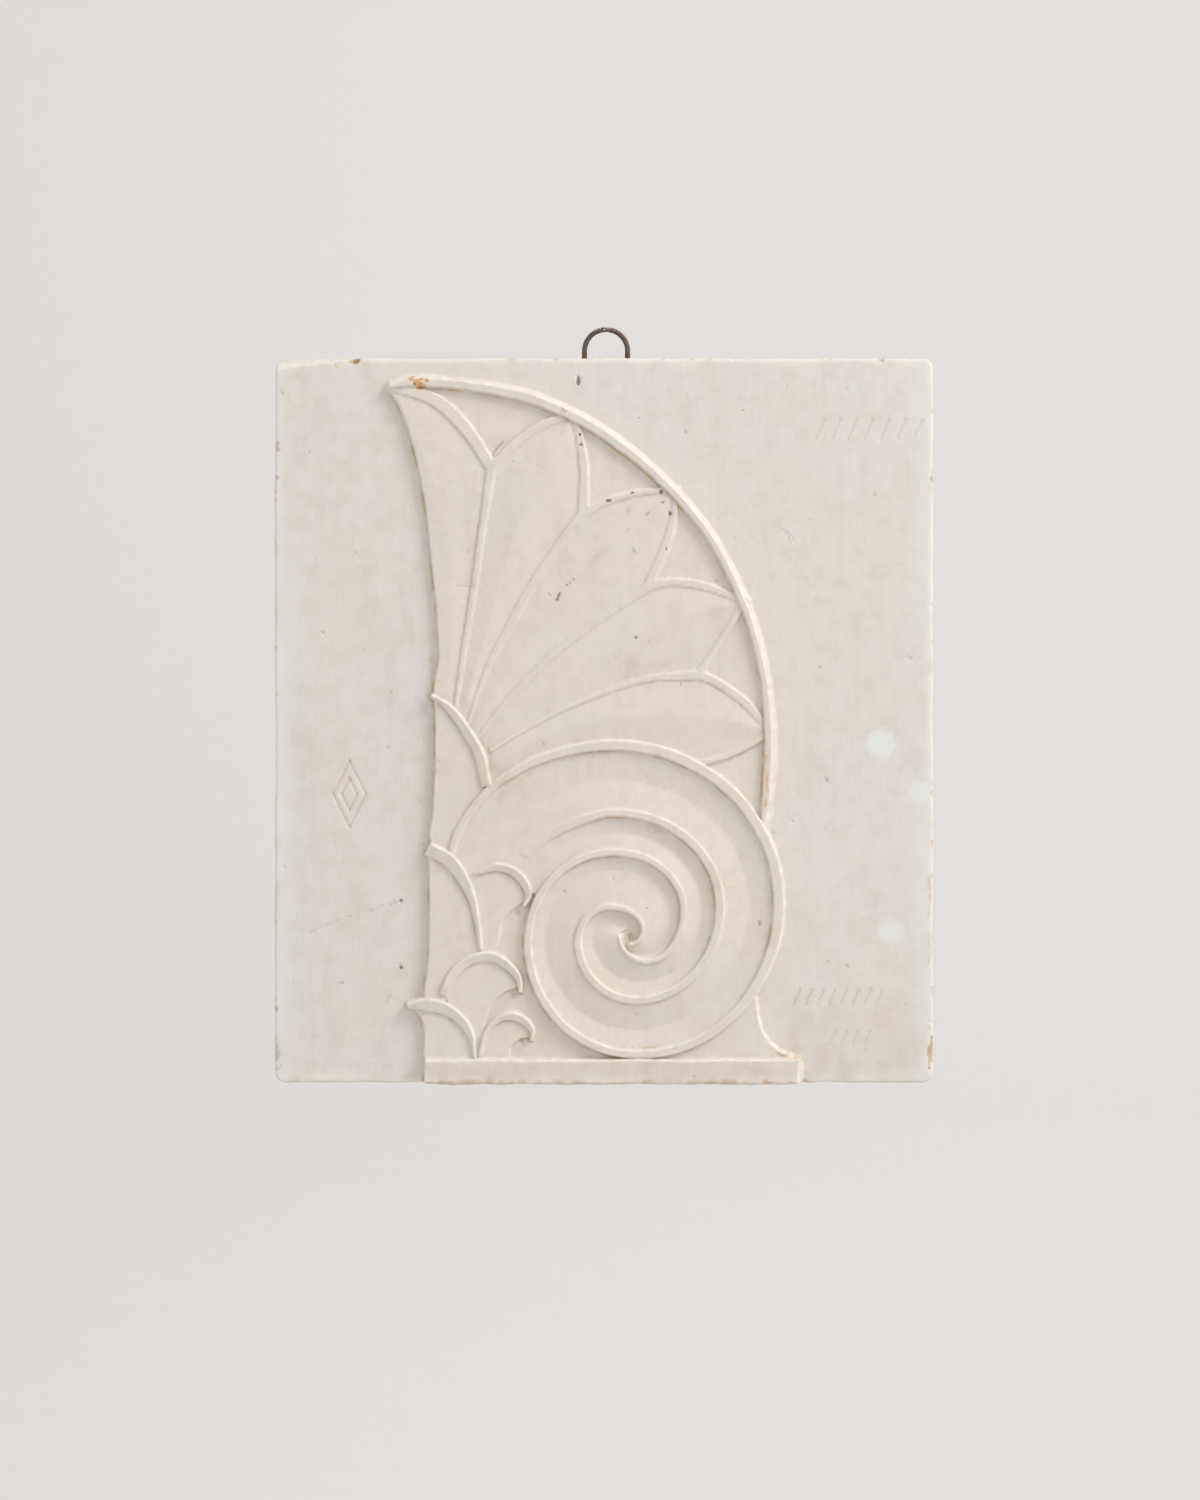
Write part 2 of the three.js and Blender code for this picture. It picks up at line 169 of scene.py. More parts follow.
@dataclass
class HeightField:
    """Heights over the slab's face and the tints that go with them, on an even raster."""

    width: float
    height: float
    step: float = 0.25
    heights: np.ndarray = field(init=False)
    tints: dict[Tint, np.ndarray] = field(init=False)

    def __post_init__(self) -> None:
        """Lays out the empty raster."""
        columns = round(self.width / self.step) + 1
        rows = round(self.height / self.step) + 1
        across, up = np.linspace(0, self.width, columns), np.linspace(0, self.height, rows)
        self.x, self.z = np.meshgrid(across, up)
        self.heights = np.zeros(self.x.shape)
        self.tints = {tint: np.zeros(self.x.shape) for tint in Tint}

    def window(self, low: np.ndarray, high: np.ndarray) -> Window:
        """The part of the raster between two corners."""
        rows, columns = self.x.shape
        first = np.clip(np.floor(np.array(low) / self.step).astype(int), 0, None)
        last = np.ceil(np.array(high) / self.step).astype(int) + 1
        return (
            slice(int(first[1]), min(int(last[1]), rows)),
            slice(int(first[0]), min(int(last[0]), columns)),
        )

    def trace(self, line: np.ndarray, reach: float, window: Window | None = None) -> Trace:
        """Measures the raster against a line.

        Args:
            line: places in millimetres, each with a width if it has one.
            reach: how far to either side of the line is measured.
            window: the part of the raster to measure, or none for all within reach.

        Returns:
            The distances to the line's left and right, with its half width and the share along it.
        """
        window = window or self.window(line[:, :2].min(0) - reach, line[:, :2].max(0) + reach)
        shape = self.x[window].shape
        nearest, side = np.full(shape, np.inf), np.full(shape, np.inf)
        half, along = np.zeros(shape), np.zeros(shape)
        widths = line[:, 2] / 2 if line.shape[1] > 2 else np.zeros(len(line))
        runs = np.concatenate([[0], np.cumsum(np.linalg.norm(np.diff(line[:, :2], axis=0), axis=1))])
        for k in range(len(line) - 1):
            start, stop = line[k, :2], line[k + 1, :2]
            low, high = np.minimum(start, stop) - reach, np.maximum(start, stop) + reach
            rows, columns = (
                slice(max(mine.start, whole.start), max(min(mine.stop, whole.stop), whole.start))
                for mine, whole in zip(self.window(low, high), window)
            )
            part = (
                slice(rows.start - window[0].start, rows.stop - window[0].start),
                slice(columns.start - window[1].start, columns.stop - window[1].start),
            )
            dx, dz = self.x[rows, columns] - start[0], self.z[rows, columns] - start[1]
            way = stop - start
            length = max(float(np.hypot(*way)), 1e-9)
            share = np.clip((dx * way[0] + dz * way[1]) / length**2, 0, 1)
            away = np.hypot(dx - share * way[0], dz - share * way[1])
            closer = away < nearest[part]
            turned = np.where(way[0] * dz - way[1] * dx >= 0, away, -away)
            nearest[part] = np.where(closer, away, nearest[part])
            side[part] = np.where(closer, turned, side[part])
            half[part] = np.where(closer, widths[k] + share * (widths[k + 1] - widths[k]), half[part])
            along[part] = np.where(closer, (runs[k] + share * length) / runs[-1], along[part])
        return Trace(window, side, half, along)

    def raise_band(self, line: np.ndarray, profile: Profile, reach: float) -> None:
        """Raises the heights to a profile along a line, where the profile is the higher."""
        seen = self.trace(line, reach)
        known = np.isfinite(seen.side)
        side = np.where(known, seen.side, reach)
        shape = np.where(known, profile(side, seen.half, seen.along), -np.inf)
        self.heights[seen.window] = np.maximum(self.heights[seen.window], shape)

    def inside(self, outline: np.ndarray, window: Window) -> np.ndarray:
        """Tells which cells of a window lie inside a closed outline."""
        x, z = self.x[window], self.z[window]
        within = np.zeros(x.shape, bool)
        for (ax, az), (bx, bz) in zip(outline[:, :2], np.roll(outline[:, :2], -1, axis=0)):
            if az != bz:
                crossing = (z >= min(az, bz)) & (z < max(az, bz))
                within ^= crossing & (x < ax + (z - az) * (bx - ax) / (bz - az))
        return within

    def depth_inside(self, outline: np.ndarray, reach: float) -> tuple[Window, np.ndarray]:
        """How far inside a closed outline each cell lies, with outside counted below nought."""
        seen = self.trace(np.vstack([outline[:, :2], outline[:1, :2]]), reach)
        away = np.where(np.isfinite(seen.side), np.abs(seen.side), reach)
        return seen.window, np.where(self.inside(outline, seen.window), away, -away)

    def raise_plate(self, outline: np.ndarray, height: float, wall: float = 0.5) -> None:
        """Raises a region to one height, with walls that lean in by the given width."""
        window, depth = self.depth_inside(outline, PLATE_REACH)
        shape = np.where(depth > -wall, height * np.clip(1 + depth / wall, 0, 1), -np.inf)
        self.heights[window] = np.maximum(self.heights[window], shape)

    def stain(self, tint: Tint, strength: np.ndarray, window: Window = np.s_[:, :]) -> None:
        """Strengthens a tint to the given strength, where that is the stronger."""
        self.tints[tint][window] = np.maximum(self.tints[tint][window], strength)

    def sample(self, values: np.ndarray, x: np.ndarray, z: np.ndarray) -> np.ndarray:
        """Reads a raster between its cells."""
        rows, columns = values.shape
        u = np.clip(x / self.step, 0, columns - 1.001)
        v = np.clip(z / self.step, 0, rows - 1.001)
        k, j = u.astype(int), v.astype(int)
        u, v = u - k, v - j
        return (
            values[j, k] * (1 - u) * (1 - v) + values[j, k + 1] * u * (1 - v)
            + values[j + 1, k] * (1 - u) * v + values[j + 1, k + 1] * u * v
        )

    def blurred(self, values: np.ndarray, sigma: float) -> np.ndarray:
        """Softens a raster over a distance in millimetres."""
        pad = int(math.ceil(4 * sigma / self.step))
        wide = np.pad(values, pad, mode="edge")
        rows = np.fft.fftfreq(wide.shape[0], self.step)[:, None]
        columns = np.fft.rfftfreq(wide.shape[1], self.step)[None, :]
        keep = np.exp(-2 * (math.pi * sigma) ** 2 * (rows**2 + columns**2))
        soft = np.fft.irfft2(np.fft.rfft2(wide) * keep, wide.shape)
        return soft[pad:-pad, pad:-pad]

    def to_border(self) -> np.ndarray:
        """How far each cell is from the slab's border."""
        return np.minimum.reduce([self.x, self.width - self.x, self.z, self.height - self.z])

    def noise(self, across: float, up: float, seed: int) -> np.ndarray:
        """Smooth noise from -1 to 1, with cells of a given width and height in millimetres."""
        shape = (int(self.height / up) + 3, int(self.width / across) + 3)
        lattice = np.random.default_rng(seed).uniform(-1, 1, shape)
        u, v = self.x / across, self.z / up
        k, j = u.astype(int), v.astype(int)
        u, v = ease(u - k), ease(v - j)
        return (
            lattice[j, k] * (1 - u) * (1 - v) + lattice[j, k + 1] * u * (1 - v)
            + lattice[j + 1, k] * (1 - u) * v + lattice[j + 1, k + 1] * u * v
        )


@dataclass(frozen=True)
class BandShape:
    """A raised band's section in millimetres.

    Its top may fall from its left to its right, and its ends are round, or square where it is cut off.
    """

    top: float
    base: float
    left_bevel: float = 0.6
    right_bevel: float = 0.6
    tilt: float = 0.0
    rise: float = 0.0
    start: float = 0.0
    square: bool = False

    def profile(self, side: np.ndarray, half: np.ndarray, along: np.ndarray) -> np.ndarray:
        """The height of the section at a distance to the left of the band's middle."""
        bevel = np.where(side > 0, self.left_bevel, self.right_bevel)
        away = np.abs(side)
        top = np.full(side.shape, self.top)
        if self.rise:
            top = self.start + (self.top - self.start) * ease(along / self.rise)
        across = np.clip((half - side) / np.maximum(2 * half, 0.2), 0, 1)
        fall = np.clip((away - np.maximum(half - bevel, half * 0.25)) / bevel, 0, None)
        shape = top - self.tilt * across - (top - self.base) * fall
        return np.where(self.square & ((along <= 0) | (along >= 1)), -np.inf, shape)


@dataclass(frozen=True)
class Palmette:
    """The half palmette: a rim, stems, fillets and petals, drawn as [across, up, width] on the grid."""

    floor: float = 2.6
    petal_edge: float = 3.4
    petal_ridge: float = 4.7
    plain_ridge: float = 3.9
    widest_petal: float = 26.0
    fillet: float = 4.3
    rim_top: float = 5.9
    rim_reach: float = 8.0
    ridge_softness: float = 0.9
    petal_wall: float = 0.5
    rim: Line = (
        (-36, 701, 7), (-14, 706, 13), (25, 704.5, 14), (102, 691, 15), (172, 659, 14), (232, 613, 13),
        (282, 557, 12), (316, 495, 11.5), (338, 426, 11.5), (347, 346, 13), (343, 274, 11.5),
        (340, 256, 6),
    )
    stems: tuple[Line, ...] = (
        ((30, 372, 5), (38, 425, 7), (48, 491, 8), (58.5, 563, 8.5), (67, 619, 11)),
        ((42, 359, 4), (60, 410, 7), (83, 457, 9.5), (117, 515, 10), (158, 572, 12)),
        ((52, 347, 5), (77, 378, 6), (112, 416, 8), (158, 455, 9.5), (224, 500, 12)),
        ((66, 335, 4), (120, 366.5, 5), (174, 391, 6.5), (224, 406.5, 8), (274, 411, 12)),
    )
    left_fillets: tuple[Line, ...] = (
        ((67, 619, 12), (40, 660, 14), (8, 688, 14), (-34, 700, 9)),
        ((158, 572, 12), (160.5, 611, 11), (155.5, 649, 9), (148, 672, 5)),
        ((224, 500, 11), (240, 537, 10), (249.5, 569, 9), (251, 596, 5)),
        ((274, 411, 9), (285, 427, 8), (305, 459, 7.5), (320, 483, 6)),
        ((276, 323, 7), (300, 329, 7), (332, 344, 7), (346, 354, 6)),
    )
    right_fillets: tuple[Line, ...] = (
        ((67, 619, 11), (87.5, 640.5, 10), (117, 661, 10), (148, 672, 8)),
        ((158, 572, 11), (178, 583, 9), (214, 593.5, 8), (252, 597, 6)),
        ((224, 500, 11), (245, 503.5, 9.5), (279, 500.5, 9.5), (322, 485, 8)),
        ((274, 411, 11), (290, 405, 10), (320, 384.5, 10), (345, 356, 8)),
    )
    ridges: tuple[Line, ...] = (
        ((22, 385), (27, 487), (14, 587), (-31, 697)),
        ((42, 385), (62, 455), (79, 518), (100, 573), (123, 625), (148, 669)),
        ((50, 362), (88, 415), (136, 470), (191, 527), (251, 594)),
        ((62, 350), (121, 397), (186, 437), (256, 469), (321, 484)),
        ((75, 322), (104, 341), (152, 361), (220, 369), (284, 368), (345, 356)),
    )
    left_wall: Line = (
        (9, 392), (11, 407), (14.5, 431), (13, 455), (10.5, 489), (6, 536), (3, 564), (-3, 604), (-12, 643),
        (-26, 682), (-38, 700),
    )
    last_foot: Line = ((66, 306), (104, 326), (150, 337), (189, 341), (240, 334), (276, 323))

    def carve(self, place: HeightField, grid: Grid) -> None:
        """Raises the petals, then the stems and fillets, then the rim round them."""
        left_sides = (self.left_wall, *(
            stem + fillet[1:] for stem, fillet in zip(self.stems, self.right_fillets)
        ))
        right_sides = (
            foot + fillet[1:] for foot, fillet in zip((*self.stems, self.last_foot), self.left_fillets)
        )
        for k, (left, right, ridge) in enumerate(zip(left_sides, right_sides, self.ridges)):
            edges = [
                grid.curve(tuple(point[:2] for point in side)) for side in (left, right)
            ]
            outline = np.vstack([edges[0], edges[1][::-1]])
            self.petal(place, outline, grid.curve(ridge), self.petal_ridge if k else self.plain_ridge)
        raised = BandShape(self.fillet, self.petal_edge - 0.3, left_bevel=0.5, right_bevel=0.5)
        for points in (*self.stems, *self.left_fillets, *self.right_fillets):
            place.raise_band(grid.curve(points), raised.profile, TRACE_REACH)
        rim = BandShape(
            self.rim_top, base=0.6, left_bevel=2.3, right_bevel=0.5, tilt=0.3, square=True,
        )
        place.raise_band(grid.curve(self.rim), rim.profile, self.rim_reach)

    def petal(self, place: HeightField, outline: np.ndarray, ridge: np.ndarray, crown: float) -> None:
        """Raises one petal, highest along its soft ridge.

        Args:
            place: the height field that is raised.
            outline: the petal's closed outline.
            ridge: the line along its middle.
            crown: how high its middle would be at full width.
        """
        window, depth = place.depth_inside(outline, self.widest_petal)
        side = place.trace(ridge, self.widest_petal, window).side
        away = np.where(np.isfinite(side), np.abs(side), self.widest_petal)
        inner = np.clip(depth, 0, None)
        share = inner / (inner + away + self.ridge_softness)
        shape = self.petal_edge + (crown - self.petal_edge) * share
        wall = np.clip(1 + depth / self.petal_wall, 0, 1)
        held = np.where(depth > -self.petal_wall, shape * wall, -np.inf)
        place.heights[window] = np.maximum(place.heights[window], held)


@dataclass(frozen=True)
class Volute:
    """The volute: two crests that wind in a quarter turn at a time, with hollow channels between."""

    crest: float = 6.7
    outer_lip: float = 5.2
    inner_lip: float = 6.1
    valley: float = 3.4
    low_line: float = 0.48
    eye_radius: float = 4.0
    eye_border: float = 3.0
    lip_curve: float = 1.12
    opened_over: float = 1.1
    trunk_height: float = 4.3
    hidden_rows: int = 2
    outer_start: Line = ((23, 207, 9), (189, 341, 13))
    outer_turns: Line = (
        (356, 182, 14), (214, 30, 11), (103.5, 142, 10.5), (189, 234, 10), (260, 176, 9), (223, 123, 8),
        (195, 149, 6),
    )
    inner_start: Line = (
        (102, 234, 13), (121, 248, 12.5), (146, 261, 11.5), (168, 269.5, 10.5), (182, 272.6, 10),
        (192, 273, 10),
    )
    inner_turns: Line = (
        (296.5, 179, 11), (212, 84.5, 10), (154, 143, 9.5), (186, 179, 8), (219, 157, 6), (206, 141, 5),
    )
    eye: tuple[float, float] = (208, 155)
    pit: tuple[float, float, float] = (206, 147, 7)
    trunk: Line = (
        (24, 207), (27, 235), (38, 266), (60, 296), (100, 310), (128, 270), (140, 245), (130, 209),
        (112, 190), (103, 195), (96, 207), (86, 214), (71, 217), (50, 211),
    )

    def quarters(self, start: Line, turns: Line, steps: int = 18) -> np.ndarray:
        """A crest's line: quarter ellipses between its outermost points.

        Args:
            start: two places for a quarter that sets off upright, or a free line into the first quarter.
            turns: the crest's outermost places, each with the width there.
            steps: how many short pieces each quarter is cut into.

        Returns:
            One row for each place along the line, with its width.
        """
        rows = []
        upright = len(start) == 2
        chain = [start[0], start[1], *turns] if upright else [start[-1], *turns]
        if not upright:
            rows.extend(curve_through(start)[:-1])
        for here, there in zip(chain, chain[1:]):
            for k in range(steps):
                turn = math.pi / 2 * k / steps
                near, far = 1 - math.cos(turn), math.sin(turn)
                u, v = (near, far) if upright else (far, near)
                rows.append((
                    here[0] + (there[0] - here[0]) * u, here[1] + (there[1] - here[1]) * v,
                    here[2] + (there[2] - here[2]) * k / steps,
                ))
            upright = not upright
        rows.append(chain[-1])
        return np.array([list(row) for row in rows], float)

    def carve(self, place: HeightField, grid: Grid) -> None:
        """Raises the trunk and the channels, then the two crests."""
        outer = grid.on_slab(self.quarters(self.outer_start, self.outer_turns)[self.hidden_rows:])
        inner = grid.on_slab(self.quarters(self.inner_start, self.inner_turns))
        eye = grid.on_slab([self.eye])[0]
        place.raise_plate(grid.on_slab(self.trunk), self.trunk_height, wall=1.0)
        self.channels(place, self.reaches(outer, eye), self.reaches(inner, eye), eye)
        start = self.trunk_height + 0.3
        outer_shape = BandShape(
            self.crest, base=0.8, left_bevel=0.9, right_bevel=0.5, rise=0.13, start=start + 0.6,
            square=True,
        )
        inner_shape = BandShape(
            self.crest, base=3.0, left_bevel=0.6, right_bevel=0.5, rise=0.16, start=start + 0.1,
        )
        place.raise_band(outer, outer_shape.profile, TRACE_REACH + 1)
        place.raise_band(inner, inner_shape.profile, TRACE_REACH)

    def reaches(self, line: np.ndarray, eye: np.ndarray) -> np.ndarray:
        """The reach of a crest from the eye at each angle, counted on clockwise from the left."""
        angles = np.unwrap(np.arctan2(line[:, 1] - eye[1], eye[0] - line[:, 0]))
        return np.column_stack([angles, np.hypot(line[:, 0] - eye[0], line[:, 1] - eye[1])])

    def channels(self, place: HeightField, outer: np.ndarray, inner: np.ndarray, eye: np.ndarray) -> None:
        """Raises the hollow channels between the two crests, turn by turn.

        Args:
            place: the height field that is raised.
            outer: the outer crest's reach at each angle.
            inner: the inner crest's reach at each angle.
            eye: the volute's middle in millimetres.
        """
        reach = outer[:, 1].max() + 2
        window = place.window(eye - reach, eye + reach)
        dx, dz = eye[0] - place.x[window], place.z[window] - eye[1]
        away = np.hypot(dx, dz)
        angle = np.arctan2(dz, dx) % (2 * math.pi)
        opening = inner[0, 0]
        shape = np.where(away < self.eye_radius + self.eye_border, self.valley - 0.3, -np.inf)
        turn = 2 * math.pi
        pairs = (
            (outer, inner, 0.0, 0.0), (outer, inner, turn, 0.0), (inner, outer, 0.0, turn),
            (inner, outer, turn, turn),
        )
        for far_line, near_line, on, lag in pairs:
            here = angle + on
            far = np.interp(here, far_line[:, 0], far_line[:, 1])
            near = np.interp(here + lag, near_line[:, 0], near_line[:, 1])
            past = ease((here + lag - near_line[-1, 0]) / 0.8)
            near = near * (1 - past)
            known = (here > opening) & (here < far_line[-1, 0] + 0.1)
            between = known & (away < far) & (away > near)
            share = (away - near) / np.maximum(far - near, 0.5)
            low = self.low_line + 0.2 * ease((here - opening - 2.5) / 4)
            climbed = (np.clip(share - low, 0, 1) / (1 - low)) ** self.lip_curve
            rising = (self.outer_lip - self.valley) * climbed
            falling = (self.inner_lip - self.valley) * np.clip(low - share, 0, 1) / low * (1 - past)
            hollow = self.valley + rising + falling
            opened = ease((here - opening) / self.opened_over)
            level = self.trunk_height + (hollow - self.trunk_height) * opened
            shape = np.where(between, np.maximum(shape, level), shape)
        place.heights[window] = np.maximum(place.heights[window], shape)


@dataclass(frozen=True)
class LeafWork:
    """The leaves and hooks at the lower left, the foot right of the volute, and the plinth."""

    body: float = 4.0
    leaf: float = 6.5
    plinth_height: float = 7.75
    plinth_left_wall: float = 0.5
    plinth_end_slope: float = 2.4
    plinth_top_slope: float = 0.7
    fan_foot_height: float = 3.1
    round_ended_leaf: int = 4
    leaves: tuple[Line, ...] = (
        ((6, 391, 4), (23, 378, 9), (40, 357, 11), (54, 333, 12), (62, 299, 12)),
        ((3, 237, 14), (23, 225, 15), (38, 207, 13), (49, 182, 9), (56, 135, 5)),
        ((50, 211, 5), (71, 218, 9), (88, 214, 10), (100, 202, 10), (104, 190, 8), (99, 178, 4)),
        ((19, 89, 9), (29, 110, 11), (46, 125, 11), (66, 128, 11), (84, 119, 10), (94, 106, 8), (96, 92, 4)),
        ((-15, 79, 6), (1, 80, 14), (21, 76, 13), (37, 64, 11), (47, 47, 8), (51, 27, 4)),
        ((56, 29, 5), (62, 52, 6), (73, 65, 8), (86, 69, 10), (100, 64, 10), (108, 54, 7), (107, 44, 4)),
    )
    bodies: tuple[Line, ...] = (
        ((10, 390), (11, 343), (9, 279), (7, 241), (24, 226), (36, 250), (60, 300), (52, 336), (38, 359),
         (22, 378)),
        ((4, 237), (5, 195), (4, 126), (2, 80), (22, 78), (20, 92), (30, 110), (54, 126), (56, 137),
         (49, 182), (36, 208)),
        ((42, 213), (72, 218), (92, 212), (102, 200), (101, 187), (80, 166), (70, 134), (56, 130), (52, 180)),
        ((20, 88), (30, 110), (46, 125), (68, 128), (86, 117), (95, 104), (92, 98), (80, 93), (68, 81),
         (61, 64), (55, 27), (49, 36), (36, 64)),
        ((-13, 78), (20, 77), (38, 62), (52, 27), (0, 26), (0, 46), (-3, 66)),
        ((54, 26), (60, 50), (73, 66), (88, 69), (102, 62), (108, 50), (96, 46), (86, 38), (84, 26)),
    )
    pits: Line = ((94, 172, 4.5), (88, 91, 4), (97, 43, 4), (-3, 71, 3.5))
    hollow_side: Line = ((333, 86), (335, 70), (339, 54), (347, 41), (357, 33), (374, 26))
    fan_foot: Line = ((9, 392), (22, 404), (48, 392), (84, 352), (104, 341), (66, 300), (58, 306), (40, 345))
    foot_back: Line = ((230, 26), (300, 92))
    plinth: Line = ((0, 0), (380, 27))

    def carve(self, place: HeightField, grid: Grid) -> None:
        """Raises the bodies, the leaves on them, the right foot and the plinth."""
        for outline in self.bodies:
            closed = curve_through(grid.on_slab((*outline, outline[0])), steps=5)
            place.raise_plate(closed, self.body, wall=0.6)
        place.raise_plate(grid.on_slab(self.fan_foot), self.fan_foot_height)
        place.raise_plate(grid.on_slab((*self.hollow_side, *self.foot_back)), self.body, wall=0.9)
        for k, points in enumerate(self.leaves):
            shape = BandShape(
                self.leaf, self.body - 0.2, left_bevel=0.5, right_bevel=0.5, tilt=1.3, rise=0.08,
                start=self.body + 1.7, square=k != self.round_ended_leaf,
            )
            place.raise_band(grid.curve(points), shape.profile, TRACE_REACH)
        self.raise_plinth(place, grid)

    def raise_plinth(self, place: HeightField, grid: Grid) -> None:
        """Raises the plinth, whose foot is the slab's foot and whose top and right end lean back."""
        (left, _), (right, top) = grid.on_slab(self.plinth)
        fall = np.maximum.reduce([
            (left - place.x) / self.plinth_left_wall,
            1 - (right - place.x) / self.plinth_end_slope,
            1 - (top - place.z) / self.plinth_top_slope,
        ])
        shape = self.plinth_height * (1 - np.clip(fall, 0, 1))
        place.heights = np.maximum(place.heights, shape)


@dataclass(frozen=True)
class Scratch:
    """A scratch, crack or incised stroke, in millimetres from the slab's lower left."""

    points: Line
    width: float
    depth: float
    tint: Tint = Tint.CREASE
    strength: float = 0.5
    gaps: float = 0.0


@dataclass(frozen=True)
class Spot:
    """A pit, chip, lump or stain, in millimetres from the slab's lower left."""

    x: float
    z: float
    across: float
    up: float
    depth: float = 0.0
    tint: Tint = Tint.DARK
    strength: float = 0.8
    ragged: float = 0.3


